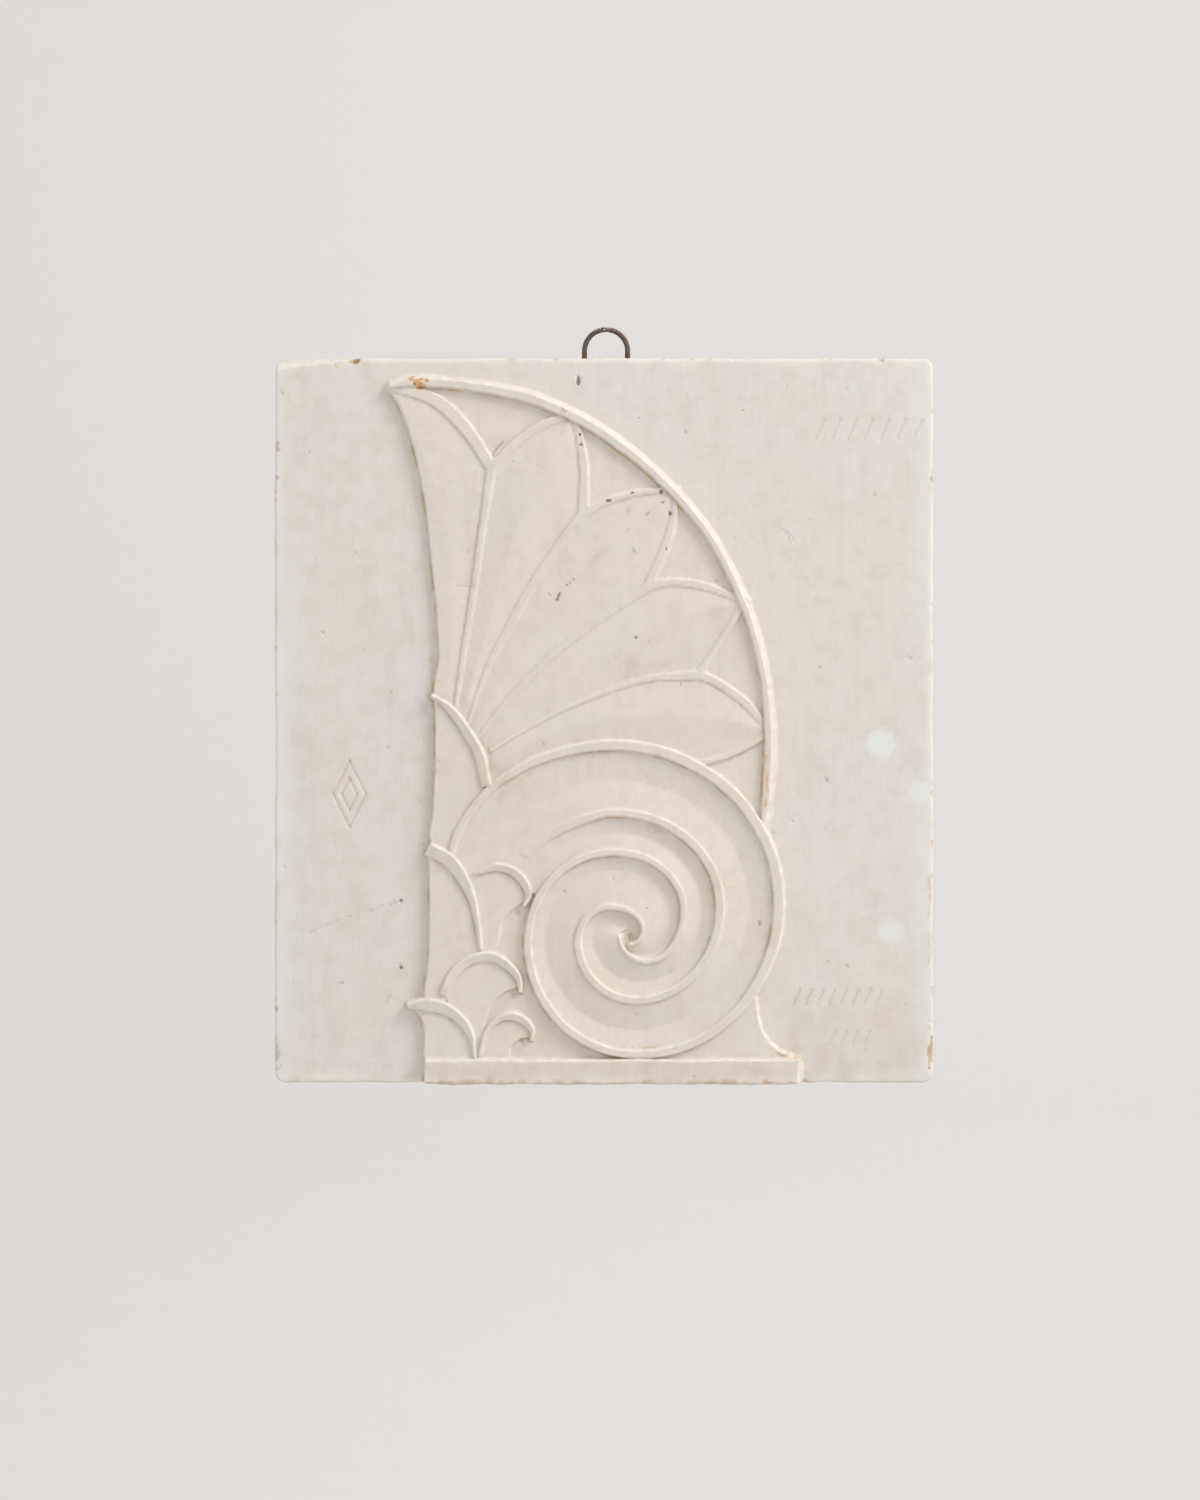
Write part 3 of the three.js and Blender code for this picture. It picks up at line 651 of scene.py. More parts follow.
@dataclass(frozen=True)
class Ageing:
    """What time has done to the casting, and the marks cut into its ground."""

    scratches: tuple[Scratch, ...] = (
        Scratch(((11.8, 66.4), (25.9, 73.2), (40.5, 77.6), (56.8, 82.7)), 0.5, 0.12, Tint.DARK, 0.3, 0.8),
        Scratch(((21.4, 34.1), (29, 34.6), (37.3, 34.5)), 0.6, 0.05, Tint.CREASE, 0.9, 0.8),
        Scratch(((51.2, 37.2), (52.3, 38.8), (53.9, 38.6)), 0.6, 0.15, Tint.CREASE, 0.6),
        Scratch(((230.5, 252.3), (233.6, 249.2), (234.4, 245.6)), 0.8, 0.25, Tint.CREASE, 0.5),
        Scratch(((232.6, 252.0), (235.0, 249.4), (236.4, 246.2)), 0.6, 0.2, Tint.CREASE, 0.35),
        Scratch(((128.5, 219.5), (129.3, 221.0), (129.9, 222.6)), 0.55, 0.35, Tint.DARK, 1.0),
        Scratch(
            ((160, 261.8), (161.8, 257), (161.9, 253.6), (159.6, 248.5)), 0.42, 0.1, Tint.CREASE, 1.0, 0.4,
        ),
        Scratch(((168.6, 258.2), (172, 260.9), (177.3, 264.1)), 0.6, 0.2, Tint.DARK, 0.8, 2.4),
        Scratch(((158.2, 248.9), (161, 244.8), (165.6, 239.4)), 0.5, 0.15, Tint.DARK, 0.6, 2.6),
        Scratch(((99.5, 285), (101.4, 288.6), (104.1, 291.4)), 0.7, 0.2, Tint.DARK, 0.6),
        Scratch(((223.4, 148.9), (223.6, 138), (222.8, 126.5)), 0.8, 0.1, Tint.TAN, 0.9, 0.7),
        Scratch(((71.2, 196), (71.8, 188), (71.9, 178.5)), 0.7, 0.05, Tint.TAN, 0.7, 0.7),
        Scratch(((88, 251), (87.4, 246), (88.2, 241)), 0.5, 0.1, Tint.DARK, 0.3, 0.9),
        Scratch(((70, 1.4), (120, 1.0), (180, 1.2), (242, 1.5)), 1.1, 0.0, Tint.CREASE, 0.9, 0.7),
        Scratch(((80, 17.2), (150, 16.8), (236, 16.6)), 0.6, 0.0, Tint.CREASE, 0.6, 2.0),
        Scratch(((83.6, 226), (88, 225.6), (91.5, 226.2)), 0.7, 0.12, Tint.CREASE, 0.3),
        Scratch(((25, 329.3), (31, 329.5), (37.3, 329.2)), 0.6, 0.0, Tint.TAN, 0.5),
        Scratch(((297.9, 94), (298.2, 85), (297.8, 76)), 0.9, 0.15, Tint.CREASE, 1.0, 0.6),
        Scratch(((297.8, 64), (298.1, 60), (297.8, 55)), 0.8, 0.15, Tint.CREASE, 0.9, 0.8),
        Scratch(((3, 323.9), (14, 325.8), (25.5, 327.0), (38, 328.6)), 0.5, 0.25, Tint.CREASE, 0.3, 0.5),
    )
    spots: tuple[Spot, ...] = (
        Spot(138.2, 319.5, 0.9, 2.1, 0.8),
        Spot(133.0, 226.2, 0.4, 0.6, 0.3),
        Spot(134.3, 227.5, 0.3, 0.3, 0.2),
        Spot(136.2, 229.0, 0.5, 0.3, 0.2),
        Spot(139.1, 294.5, 0.8, 1.1, 0.6),
        Spot(139.6, 290.0, 0.7, 0.9, 0.5),
        Spot(151.8, 264.5, 1.6, 0.8, 0.4),
        Spot(162.7, 268.2, 1.0, 0.6, 0.3),
        Spot(175.9, 268.6, 0.9, 1.1, 0.5),
        Spot(180.0, 258.6, 0.7, 0.9, 0.4),
        Spot(178.2, 242.7, 0.5, 0.8, 0.3),
        Spot(164.5, 202.7, 0.8, 0.7, 0.3),
        Spot(220.5, 72.7, 0.7, 0.7, 0.3, Tint.DARK, 0.6),
        Spot(57.7, 83.2, 0.8, 0.8, 0.3),
        Spot(57.7, 52.7, 0.9, 1.0, 0.35),
        Spot(37.6, 328.8, 1.5, 1.3, 0.3, Tint.DARK, 0.6, 0.5),
        Spot(37.0, 328.6, 2.2, 1.3, 0.0, Tint.CREASE, 1.0, 0.6),
        Spot(62.4, 319.6, 1.8, 1.3, 0.35, Tint.TAN, 0.95, 0.25),
        Spot(64.6, 318.4, 1.9, 1.6, 0.4, Tint.TAN, 0.75, 0.3),
        Spot(67.2, 319.4, 1.5, 1.0, 0.35, Tint.TAN, 0.9, 0.3),
        Spot(69.4, 318.8, 1.4, 1.6, 0.35, Tint.TAN, 0.9, 0.25),
        Spot(67.0, 316.8, 1.6, 1.7, 0.45, Tint.TAN, 1.0, 0.3),
        Spot(63.2, 320.8, 1.2, 0.9, 0.3, Tint.TAN, 0.8, 0.3),
        Spot(65.6, 315.6, 1.1, 1.0, 0.3, Tint.TAN, 0.8, 0.3),
        Spot(68.6, 316.6, 1.0, 1.1, 0.3, Tint.TAN, 0.7, 0.3),
        Spot(64.2, 317.2, 0.8, 0.6, 0.6, Tint.DARK, 0.4, 0.5),
        Spot(166.0, 189.0, 13.0, 4.5, 0.0, Tint.CREASE, 0.2, 0.7),
        Spot(148.6, 240.0, 4.5, 2.2, 0.0, Tint.CREASE, 0.3, 0.7),
        Spot(111.0, 134.0, 11.0, 7.0, 0.0, Tint.CREASE, 0.18, 0.7),
        Spot(205.0, 92.0, 4.0, 8.0, 0.0, Tint.CREASE, 0.16, 0.9),
        Spot(176.0, 116.0, 7.0, 3.0, 0.0, Tint.CREASE, 0.16, 0.9),
        Spot(150.0, 48.0, 9.0, 4.0, 0.0, Tint.CREASE, 0.16, 0.7),
        Spot(268.0, 16.0, 46.0, 24.0, 0.0, Tint.CREASE, 0.12, 0.2),
        Spot(155.0, 5.0, 110.0, 9.0, 0.0, Tint.CREASE, 0.16, 0.2),
        Spot(132.3, 306.4, 1.6, 1.4, -0.6, Tint.RIDGE_WEAR_AND_HIGHLIGHT, 0.4),
        Spot(0.6, 289.0, 1.7, 2.9, 0.8, Tint.TAN, 0.55, 0.5),
        Spot(0.5, 275.5, 1.2, 1.8, 0.5, Tint.TAN, 0.45, 0.5),
        Spot(300.0, 216.4, 1.6, 2.2, 0.9, Tint.PALE, 1.0, 0.4),
        Spot(298.6, 15.0, 2.0, 8.0, 0.5, Tint.CREASE, 0.9, 0.6),
        Spot(0.6, 11.0, 2.4, 4.0, 0.4, Tint.CREASE, 0.7, 0.7),
        Spot(232.0, 13.6, 3.4, 1.1, 0.2, Tint.CREASE, 1.0, 0.5),
        Spot(238.0, 11.6, 3.0, 1.4, 0.0, Tint.CREASE, 0.7, 0.6),
        Spot(276.4, 154.5, 8.0, 7.8, 0.08, Tint.PALE, 1.0, 0.1),
        Spot(294.5, 132.7, 6.2, 6.2, 0.08, Tint.PALE, 0.95, 0.1),
        Spot(280.9, 69.1, 7.4, 7.2, 0.08, Tint.PALE, 0.85, 0.1),
        Spot(41.4, 213.6, 3.6, 3.6, 0.12, Tint.PALE, 0.3, 0.12),
    )
    chip_edge: Line = ((-2, 323.2), (14, 325.6), (25.5, 326.9), (38, 328.6), (46, 332))
    pit_count: int = 50
    border_chips: int = 130
    stroke_rows: Line = (
        (246, 293, 7, 7.4, 9, 0.3), (236, 35.5, 8, 5.3, 7, 0.4), (252, 17.5, 4, 5.3, 6, 0.3),
    )
    stroke_lean: float = 0.45
    lozenge_middle: tuple[float, float] = (34.1, 131.4)
    lozenges: Line = ((7.5, 15.0), (3.6, 7.2))

    def strokes(self) -> list[Scratch]:
        """Rows of plain incised strokes, with no letter among them, and one small stamped lozenge."""
        marks = []
        for left, foot, count, gap, rise, strength in self.stroke_rows:
            for k in range(count):
                x, lean = left + k * gap, self.stroke_lean * rise
                points = ((x, foot), (x + lean / 2, foot + rise / 2), (x + lean, foot + rise))
                marks.append(Scratch(points, 0.8, 0.3, Tint.CREASE, strength))
        x, z = self.lozenge_middle
        for half, tall in self.lozenges:
            corners = [(x + half * u, z + tall * v) for u, v in ((0, 1), (1, 0), (0, -1), (-1, 0), (0, 1))]
            for a, b in zip(corners, corners[1:]):
                points = (a, ((a[0] + b[0]) / 2, (a[1] + b[1]) / 2), b)
                marks.append(Scratch(points, 1.0, 0.4, Tint.CREASE, 0.35))
        return marks

    def mark(self, place: HeightField) -> None:
        """Cuts the scratches, strokes, spots and the worn corner into the height field."""
        rough = place.noise(1.6, 1.6, 31)
        broken = place.noise(2.3, 2.3, 33)
        for scratch in (*self.scratches, *self.strokes()):
            seen = place.trace(curve_through(scratch.points, 8), 2.0)
            away = np.where(np.isfinite(seen.side), np.abs(seen.side), 9.0)
            held = np.clip(1 + scratch.gaps * (1.6 * broken[seen.window] - 0.5), 0, 1)
            share = ease(1 - away / (scratch.width * (1 + 0.35 * rough[seen.window]))) * held
            place.heights[seen.window] -= scratch.depth * share
            place.stain(scratch.tint, scratch.strength * share, seen.window)
        for spot in self.spots:
            reach = 1.6 * max(spot.across, spot.up)
            middle = np.array([spot.x, spot.z])
            window = place.window(middle - reach, middle + reach)
            u, v = (place.x[window] - spot.x) / spot.across, (place.z[window] - spot.z) / spot.up
            away = np.hypot(u, v) + spot.ragged * rough[window]
            share = ease((1 - away) / 0.35)
            place.heights[window] -= spot.depth * share
            place.stain(spot.tint, spot.strength * share, window)
        self.pit(place)
        self.chip(place, rough)
        self.wear_border(place)

    def pit(self, place: HeightField) -> None:
        """Scatters the small air holes that a plaster cast has."""
        chance = np.random.default_rng(17)
        for _ in range(self.pit_count):
            x, z = chance.uniform(3, place.width - 3), chance.uniform(3, place.height - 3)
            radius = chance.uniform(0.3, 0.75)
            window = place.window(np.array([x, z]) - 1.5, np.array([x, z]) + 1.5)
            share = ease((radius - np.hypot(place.x[window] - x, place.z[window] - z)) / 0.35)
            place.heights[window] -= 0.35 * share
            place.stain(Tint.DARK, chance.uniform(0.05, 0.3) * share, window)

    def chip(self, place: HeightField, rough: np.ndarray) -> None:
        """Wears the upper left corner away to a slanting face."""
        edge = np.array(self.chip_edge, float)
        line = np.interp(place.x, edge[:, 0], edge[:, 1], right=400) + 0.35 * rough
        beyond = np.clip(place.z - line, 0, None)
        place.heights -= 0.3 * beyond
        place.stain(Tint.RIDGE_WEAR_AND_HIGHLIGHT, 0.6 * ease(beyond / 1.2))

    def wear_border(self, place: HeightField) -> None:
        """Rubs the slab's border down unevenly and knocks small chips out of it."""
        border = place.to_border()
        bite = 0.9 + 0.7 * place.noise(5, 5, 41) + 0.5 * place.noise(1.7, 1.7, 42)
        place.heights -= 0.45 * ease(1 - border / np.maximum(bite, 0.2))
        chance = np.random.default_rng(43)
        rough = place.noise(1.3, 1.3, 44)
        for _ in range(self.border_chips):
            along, side = chance.uniform(), chance.integers(4)
            x = (along * place.width, along * place.width, 0.0, place.width)[side]
            z = (0.0, place.height, along * place.height, along * place.height)[side]
            radius = chance.uniform(0.6, 1.9)
            window = place.window(np.array([x, z]) - 3, np.array([x, z]) + 3)
            away = np.hypot(place.x[window] - x, place.z[window] - z) + 0.5 * rough[window]
            share = ease((radius - away) / 0.6)
            place.heights[window] -= chance.uniform(0.2, 0.7) * share
            tint = (Tint.RIDGE_WEAR_AND_HIGHLIGHT, Tint.RIDGE_WEAR_AND_HIGHLIGHT, Tint.TAN, Tint.DARK, Tint.CREASE)[chance.integers(5)]
            place.stain(tint, chance.uniform(0.2, 0.6) * share, window)


def add(tree: bpy.types.NodeTree, kind: str, inputs: dict | None = None, **settings: Any) -> bpy.types.Node:
    """Adds a node with its settings and links.

    Args:
        tree: the material's or world's nodes.
        kind: the node's type.
        inputs: a value or another node's output for each input, by name or number.
        settings: the node's own properties.

    Returns:
        The new node.
    """
    made = tree.nodes.new(kind)
    for name, value in settings.items():
        setattr(made, name, value)
    for name, value in (inputs or {}).items():
        if isinstance(value, bpy.types.NodeSocket):
            tree.links.new(value, made.inputs[name])
        else:
            made.inputs[name].default_value = value
    return made


@dataclass(frozen=True)
class PlasterFinish:
    """Cast gypsum under old brushed distemper: dull and chalky, greyer at the rim, tan in the creases as dirt and
    as painted shade, with painted highlights on the ridges.

    The distemper's faint brush marks stand about 1 mm apart and run up and down. Handling left clouds
    of dirt some centimetres wide, and its grain is drawn coarser than real plaster's, so that it shows.
    """

    cool: str = "dddbda"
    warm: str = "dfd7cd"
    soil: str = "cec5b9"
    # Tan for dirt in the creases, which also paints shade there.
    crease_dirt_and_shade: str = "bb9866"
    # Near white for rubbed edges, which also paints highlights on ridges and lit faces.
    ridge: str = "f1ede5"
    tan: str = "dba163"
    dark: str = "5a4c3e"
    pale: str = "e2e4e2"
    roughness: float = 0.8
    specular_index: float = 1.5
    bump_height: float = 0.14
    patterns: dict[str, Pattern] = field(default_factory=lambda: {
        "cloud": (38.0, (1, 1, 1), 4.0),
        "mottle": (7.0, (1, 1, 1), 5.0),
        "grain": (0.9, (1, 1, 1), 5.0),
        "brush": (1.1, (1, 0.3, 0.05), 3.0),
        "sweep": (8.0, (1, 0.4, 0.14), 3.0),
        "speck": (1.7, (1, 1, 1), 2.0),
    })

    def material(self) -> bpy.types.Material:
        """The plaster's material, which reads the tints in the mesh."""
        made = bpy.data.materials.new("distempered_plaster")
        made.use_nodes = True
        tree = made.node_tree
        tree.nodes.clear()
        place = add(tree, "ShaderNodeTexCoord").outputs["Object"]
        noise = {}
        for name, (size, drawn, detail) in self.patterns.items():
            scale = tuple(share / (size * MM) for share in drawn)
            scaled = add(tree, "ShaderNodeMapping", {"Vector": place, "Scale": scale}).outputs["Vector"]
            noise[name] = add(tree, "ShaderNodeTexNoise", {
                "Vector": scaled, "Scale": 1.0, "Detail": detail, "Roughness": 0.55,
            }).outputs["Fac"]
        tints = {
            tint: add(tree, "ShaderNodeAttribute", attribute_name=tint.value).outputs["Fac"] for tint in Tint
        }
        cloudy = add(tree, "ShaderNodeMapRange", {
            "Value": noise["cloud"], "From Min": 0.35, "From Max": 0.7, "To Max": 0.35,
        }).outputs["Result"]
        warmth = add(
            tree, "ShaderNodeMath", {0: tints[Tint.WARM], 1: 0.75, 2: cloudy}, operation="MULTIPLY_ADD",
        ).outputs[0]
        colour = add(
            tree, "ShaderNodeMix", {0: warmth, 6: linear(self.cool), 7: linear(self.warm)}, data_type="RGBA",
        ).outputs[2]
        for name, low, high, most, code in (
            ("sweep", 0.45, 0.75, 0.26, self.soil), ("brush", 0.45, 0.75, 0.2, self.soil),
            ("mottle", 0.42, 0.72, 0.34, self.soil), ("grain", 0.5, 0.72, 0.34, self.soil),
            ("speck", 0.7, 0.76, 0.4, self.crease_dirt_and_shade),
        ):
            share = add(tree, "ShaderNodeMapRange", {
                "Value": noise[name], "From Min": low, "From Max": high, "To Max": most,
            }, interpolation_type="SMOOTHSTEP").outputs["Result"]
            colour = add(
                tree, "ShaderNodeMix", {0: share, 6: colour, 7: linear(code)}, data_type="RGBA",
            ).outputs[2]
        held = add(tree, "ShaderNodeMapRange", {
            "Value": noise["mottle"], "From Min": 0.25, "From Max": 0.65, "To Min": 0.45, "To Max": 1.0,
        }).outputs["Result"]
        # The crease tint paints shade as well as dirt; the ridge tint below paints highlights as well as wear.
        dirt_and_shade = add(
            tree, "ShaderNodeMath", {0: tints[Tint.CREASE], 1: held}, operation="MULTIPLY",
        ).outputs[0]
        for share, code in (
            (dirt_and_shade, self.crease_dirt_and_shade), (tints[Tint.RIDGE_WEAR_AND_HIGHLIGHT], self.ridge), (tints[Tint.PALE], self.pale),
            (tints[Tint.TAN], self.tan), (tints[Tint.DARK], self.dark),
        ):
            colour = add(
                tree, "ShaderNodeMix", {0: share, 6: colour, 7: linear(code)}, data_type="RGBA",
            ).outputs[2]
        relief = None
        for name, share in (("grain", 0.4), ("brush", 0.2), ("mottle", 0.9), ("sweep", 0.4)):
            relief = add(tree, "ShaderNodeMath", {
                0: noise[name], 1: share, 2: relief or 0.0,
            }, operation="MULTIPLY_ADD").outputs[0]
        bump = add(tree, "ShaderNodeBump", {
            "Strength": 0.5, "Distance": self.bump_height * MM, "Height": relief,
        }).outputs["Normal"]
        rough = add(tree, "ShaderNodeMapRange", {
            "Value": noise["mottle"], "From Min": 0.2, "From Max": 0.8,
            "To Min": self.roughness - 0.06, "To Max": self.roughness + 0.1,
        }).outputs["Result"]
        shader = add(tree, "ShaderNodeBsdfPrincipled", {
            "Base Color": colour, "Roughness": rough, "Normal": bump, "IOR": self.specular_index,
        }).outputs["BSDF"]
        add(tree, "ShaderNodeOutputMaterial", {"Surface": shader})
        made.diffuse_color = linear(self.warm)
        return made


@dataclass(frozen=True)
class WireFinish:
    """Mild steel wire, drawn and left bare: dark and dull, rusty at the plaster, with dabs of old paint."""

    steel: str = "5b524c"
    worn: str = "8a827b"
    rust: str = "6e3f22"
    paint: str = "cfc8bd"
    metallic: float = 0.75
    roughness: float = 0.5
    patch_size: float = 2.4
    grit_size: float = 0.6
    bump_height: float = 0.15

    def material(self, crown: float, foot: float) -> bpy.types.Material:
        """The wire's material.

        Args:
            crown: the height of the loop's top in metres, where the dabs of paint are.
            foot: the height at which the legs enter the plaster, where the rust is.

        Returns:
            The new material.
        """
        made = bpy.data.materials.new("bare_steel_wire")
        made.use_nodes = True
        tree = made.node_tree
        tree.nodes.clear()
        place = add(tree, "ShaderNodeTexCoord").outputs["Object"]
        height = add(tree, "ShaderNodeSeparateXYZ", {0: place}).outputs["Z"]
        patch, grit = (
            add(tree, "ShaderNodeTexNoise", {
                "Vector": place, "Scale": 1 / (size * MM), "Detail": 4.0,
            }).outputs["Fac"]
            for size in (self.patch_size, self.grit_size)
        )
        covers = []
        for start, stop, near, pattern, low, high in (
            (foot + 6 * MM, foot, 0.75, patch, 0.62, 0.82), (crown - 4 * MM, crown, 0.35, grit, 0.76, 0.85),
        ):
            close = add(tree, "ShaderNodeMapRange", {
                "Value": height, "From Min": start, "From Max": stop, "To Max": near,
            }).outputs["Result"]
            level = add(tree, "ShaderNodeMath", {0: close, 1: pattern}, operation="ADD").outputs[0]
            covers.append(add(tree, "ShaderNodeMapRange", {
                "Value": level, "From Min": low, "From Max": high,
            }).outputs["Result"])
        rubbed = add(tree, "ShaderNodeMapRange", {
            "Value": grit, "From Min": 0.5, "From Max": 0.75,
        }).outputs["Result"]
        colour = linear(self.steel)
        for share, code in ((rubbed, self.worn), (covers[0], self.rust), (covers[1], self.paint)):
            colour = add(
                tree, "ShaderNodeMix", {0: share, 6: colour, 7: linear(code)}, data_type="RGBA",
            ).outputs[2]
        covered = add(tree, "ShaderNodeMath", {0: covers[0], 1: covers[1]}, operation="MAXIMUM").outputs[0]
        metal, rough = (
            add(tree, "ShaderNodeMapRange", {
                "Value": covered, "To Min": bare, "To Max": hidden,
            }).outputs["Result"]
            for bare, hidden in ((self.metallic, 0.0), (self.roughness, 0.85))
        )
        bump = add(tree, "ShaderNodeBump", {
            "Strength": 0.5, "Distance": self.bump_height * MM, "Height": patch,
        }).outputs["Normal"]
        shader = add(tree, "ShaderNodeBsdfPrincipled", {
            "Base Color": colour, "Metallic": metal, "Roughness": rough, "Normal": bump,
        }).outputs["BSDF"]
        add(tree, "ShaderNodeOutputMaterial", {"Surface": shader})
        made.diffuse_color = linear(self.steel)
        return made


def finished(name: str, mesh_maker: bmesh.types.BMesh, material: bpy.types.Material, node: str) -> bpy.types.Object:
    """Turns a bmesh into a piece of the plaque that stands for a node of the frame.

    Args:
        name: the piece's name.
        mesh_maker: the bmesh, which is freed.
        material: the piece's finish.
        node: the frame's node that the piece replaces.

    Returns:
        The new object.
    """
    mesh = bpy.data.meshes.new(name)
    mesh_maker.to_mesh(mesh)
    mesh_maker.free()
    mesh.materials.append(material)
    piece = bpy.data.objects.new(name, mesh)
    bpy.context.scene.collection.objects.link(piece)
    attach(piece, "root")
    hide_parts(node)
    return piece


@dataclass
class PlasterCasting:
    """The slab and its relief as one closed mesh."""

    low: Vector
    high: Vector
    front: float
    relief: float = 8.0
    coarse: float = 3.6
    levels: tuple[tuple[int, float, float], ...] = ((1, 1.6, 0.07), (2, 0.8, 0.08), (4, 0.35, 0.12))
    rounding: float = 1.5
    back_border: float = 2.0
    corner: float = 4.8
    wander: float = 0.22
    widest_draw: float = 0.045
    least_tint: float = 0.25
    fine_corner: float = 7.0
    fine_border: float = 4.0
    palmette: Palmette = Palmette()
    volute: Volute = Volute()
    leaf_work: LeafWork = LeafWork()
    ageing: Ageing = Ageing()
    finish: PlasterFinish = field(default_factory=PlasterFinish)

    @property
    def width(self) -> float:
        """The slab's width in millimetres."""
        return (self.high.x - self.low.x) / MM

    @property
    def height(self) -> float:
        """The slab's height in millimetres."""
        return (self.high.z - self.low.z) / MM

    @property
    def thickness(self) -> float:
        """The slab's thickness in millimetres, without the relief."""
        return (self.high.y - self.front) / MM

    def carve(self) -> HeightField:
        """Draws the height field of the whole face and its tints."""
        place = HeightField(self.width, self.height)
        grid = Grid(slab_height=self.height)
        outline = self.ground(grid)
        place.raise_plate(outline, self.palmette.floor)
        self.palmette.carve(place, grid)
        self.volute.carve(place, grid)
        self.leaf_work.carve(place, grid)
        for x, z, radius in grid.on_slab((*self.leaf_work.pits, self.volute.pit)):
            away = np.hypot(place.x - x, place.z - z)
            place.heights -= 0.45 * radius * ease(1 - away / (radius * 1.25))
            # Painted shade: the pits are darkened inside as well as sunk.
            place.stain(Tint.CREASE, 0.2 * radius * ease(1.1 - away / radius))
        self.weather(place)
        return place

    def ground(self, grid: Grid) -> np.ndarray:
        """The outline of the carving's own low ground."""
        leaf_work, palmette = self.leaf_work, self.palmette
        rim = curve_through([point[:2] for point in palmette.rim])
        turn = self.volute.quarters(self.volute.outer_start, self.volute.outer_turns)
        right = [row[:2] for row in turn if row[0] > 330 and 86 < row[1] < 272]
        foot = [(374, 2), (0, 2), (0, 46), (-3, 66), (-13, 78), (1, 84), (4, 126), (5, 195), (3, 237)]
        upper = [(9, 245), (9, 279), (11, 343)]
        wall = curve_through(palmette.left_wall[:-1])
        return grid.on_slab([*rim, *right, *leaf_work.hollow_side, *foot, *upper, *wall])

    def weather(self, place: HeightField) -> None:
        """Softens the carving, makes it a little uneven as hand work is, ages it, and paints shade into its creases
        and along its bottom edge and highlights on its lit edges.
        """
        x = place.x + self.wander * place.noise(13, 13, 3) + 0.08 * place.noise(4, 4, 5)
        z = place.z + self.wander * place.noise(13, 13, 4) + 0.08 * place.noise(4, 4, 6)
        crisp = place.sample(place.heights, x, z)
        place.heights = place.blurred(crisp, 0.16)
        carved = ease(place.blurred(place.heights, 3.0) / 1.6)
        place.heights += 0.16 * place.noise(55, 55, 8) + 0.07 * place.noise(12, 12, 9)
        place.heights += 0.025 * place.noise(4, 5, 10)
        self.ageing.mark(place)
        place.heights = np.minimum(place.heights, self.relief - 0.02)
        self.paint_crease_shade_and_highlights(place)
        self.fade_borders(place, carved)

    def paint_crease_shade_and_highlights(self, place: HeightField) -> None:
        """Paints shade into the creases, most where they face away from the light at the upper right, over a little
        crease dirt, and paints highlights on the ridges and on faces turned to the light, over rubbed wear.
        """
        hollow = place.blurred(place.heights, 0.5) - place.heights
        climb_up, climb_right = np.gradient(place.heights, place.step)
        # Painted shade: walls that face down and left, away from the key light.
        shaded = np.clip((climb_up + climb_right) * 0.7, 0, 1)
        shaded = np.clip(2.4 * place.blurred(shaded, 0.4), 0, 1)
        crease_dirt_and_shade = np.clip(hollow / 0.26 - 0.12, 0, 1) * (0.2 + 0.8 * shaded)
        crease_dirt_and_shade *= 0.2 + 0.8 * ease(0.9 * place.noise(11, 11, 15) + 0.5 * place.noise(3, 3, 16) + 0.35)
        place.stain(Tint.CREASE, crease_dirt_and_shade)
        place.tints[Tint.CREASE] = np.clip(place.tints[Tint.CREASE], 0, 1)
        # Patchy, as rubbed edges are; it also breaks up the painted highlights.
        rubbed = 0.55 + 0.45 * place.noise(2.5, 2.5, 18)
        # Painted highlight: faces turned up and right, towards the key light.
        lit = place.blurred(np.clip(-0.8 * (climb_up + climb_right), 0, 1), 0.3)
        # Convex edges paler, partly as rubbed wear and partly as painted highlight.
        ridge = np.clip(-hollow / 0.3 - 0.15, 0, 1) * 0.7 * rubbed + 0.5 * lit * rubbed
        place.stain(Tint.RIDGE_WEAR_AND_HIGHLIGHT, ridge)

    def fade_borders(self, place: HeightField, carved: np.ndarray) -> None:
        """Warms the carving, stains and rubs the slab's edges, paints shade along its bottom edge, and whitens its
        left and right borders.
        """
        border = place.to_border()
        warm = 0.25 + 0.75 * ease(place.blurred(carved, 6.0))
        place.tints[Tint.WARM] = warm * (0.55 + 0.45 * ease(border / 30)) + 0.12 * place.noise(30, 60, 12)
        edge = ease(1 - border / (5 + 4 * place.noise(7, 7, 14)))
        edge_stain_and_bottom_shade = edge * ease(place.noise(9, 9, 19) * 1.6 - 0.5)
        # Painted shade: a darker band along the slab's bottom edge, added to the edge stains.
        edge_stain_and_bottom_shade = np.maximum(edge_stain_and_bottom_shade, 0.8 * ease(1 - place.z / 2.4) * (0.6 + 0.4 * place.noise(6, 6, 20)))
        place.stain(Tint.CREASE, 0.45 * edge_stain_and_bottom_shade)
        clear_of_dirt_and_shade = 1 - place.tints[Tint.CREASE]
        place.stain(Tint.RIDGE_WEAR_AND_HIGHLIGHT, 0.5 * edge * (1 - edge_stain_and_bottom_shade) * clear_of_dirt_and_shade)
        to_side = np.minimum(place.x, place.width - place.x)
        whitened = ease(1 - to_side / (11 + 8 * place.noise(16, 40, 23)))
        place.stain(Tint.PALE, 0.6 * whitened * clear_of_dirt_and_shade)

    def build(self) -> bpy.types.Object:
        """Builds the casting: the fine front sheet, then its sides and its back."""
        place = self.carve()
        log.info("height field drawn, %d by %d", *place.heights.shape)
        maker = self.front_sheet(place)
        self.close(maker, place)
        piece = finished("relief_casting", maker, self.finish.material(), "plaster_plaque")
        self.tint(piece, place)
        self.turn_normals(piece.data, place)
        log.info("relief_casting: %d faces", len(piece.data.polygons))
        return piece

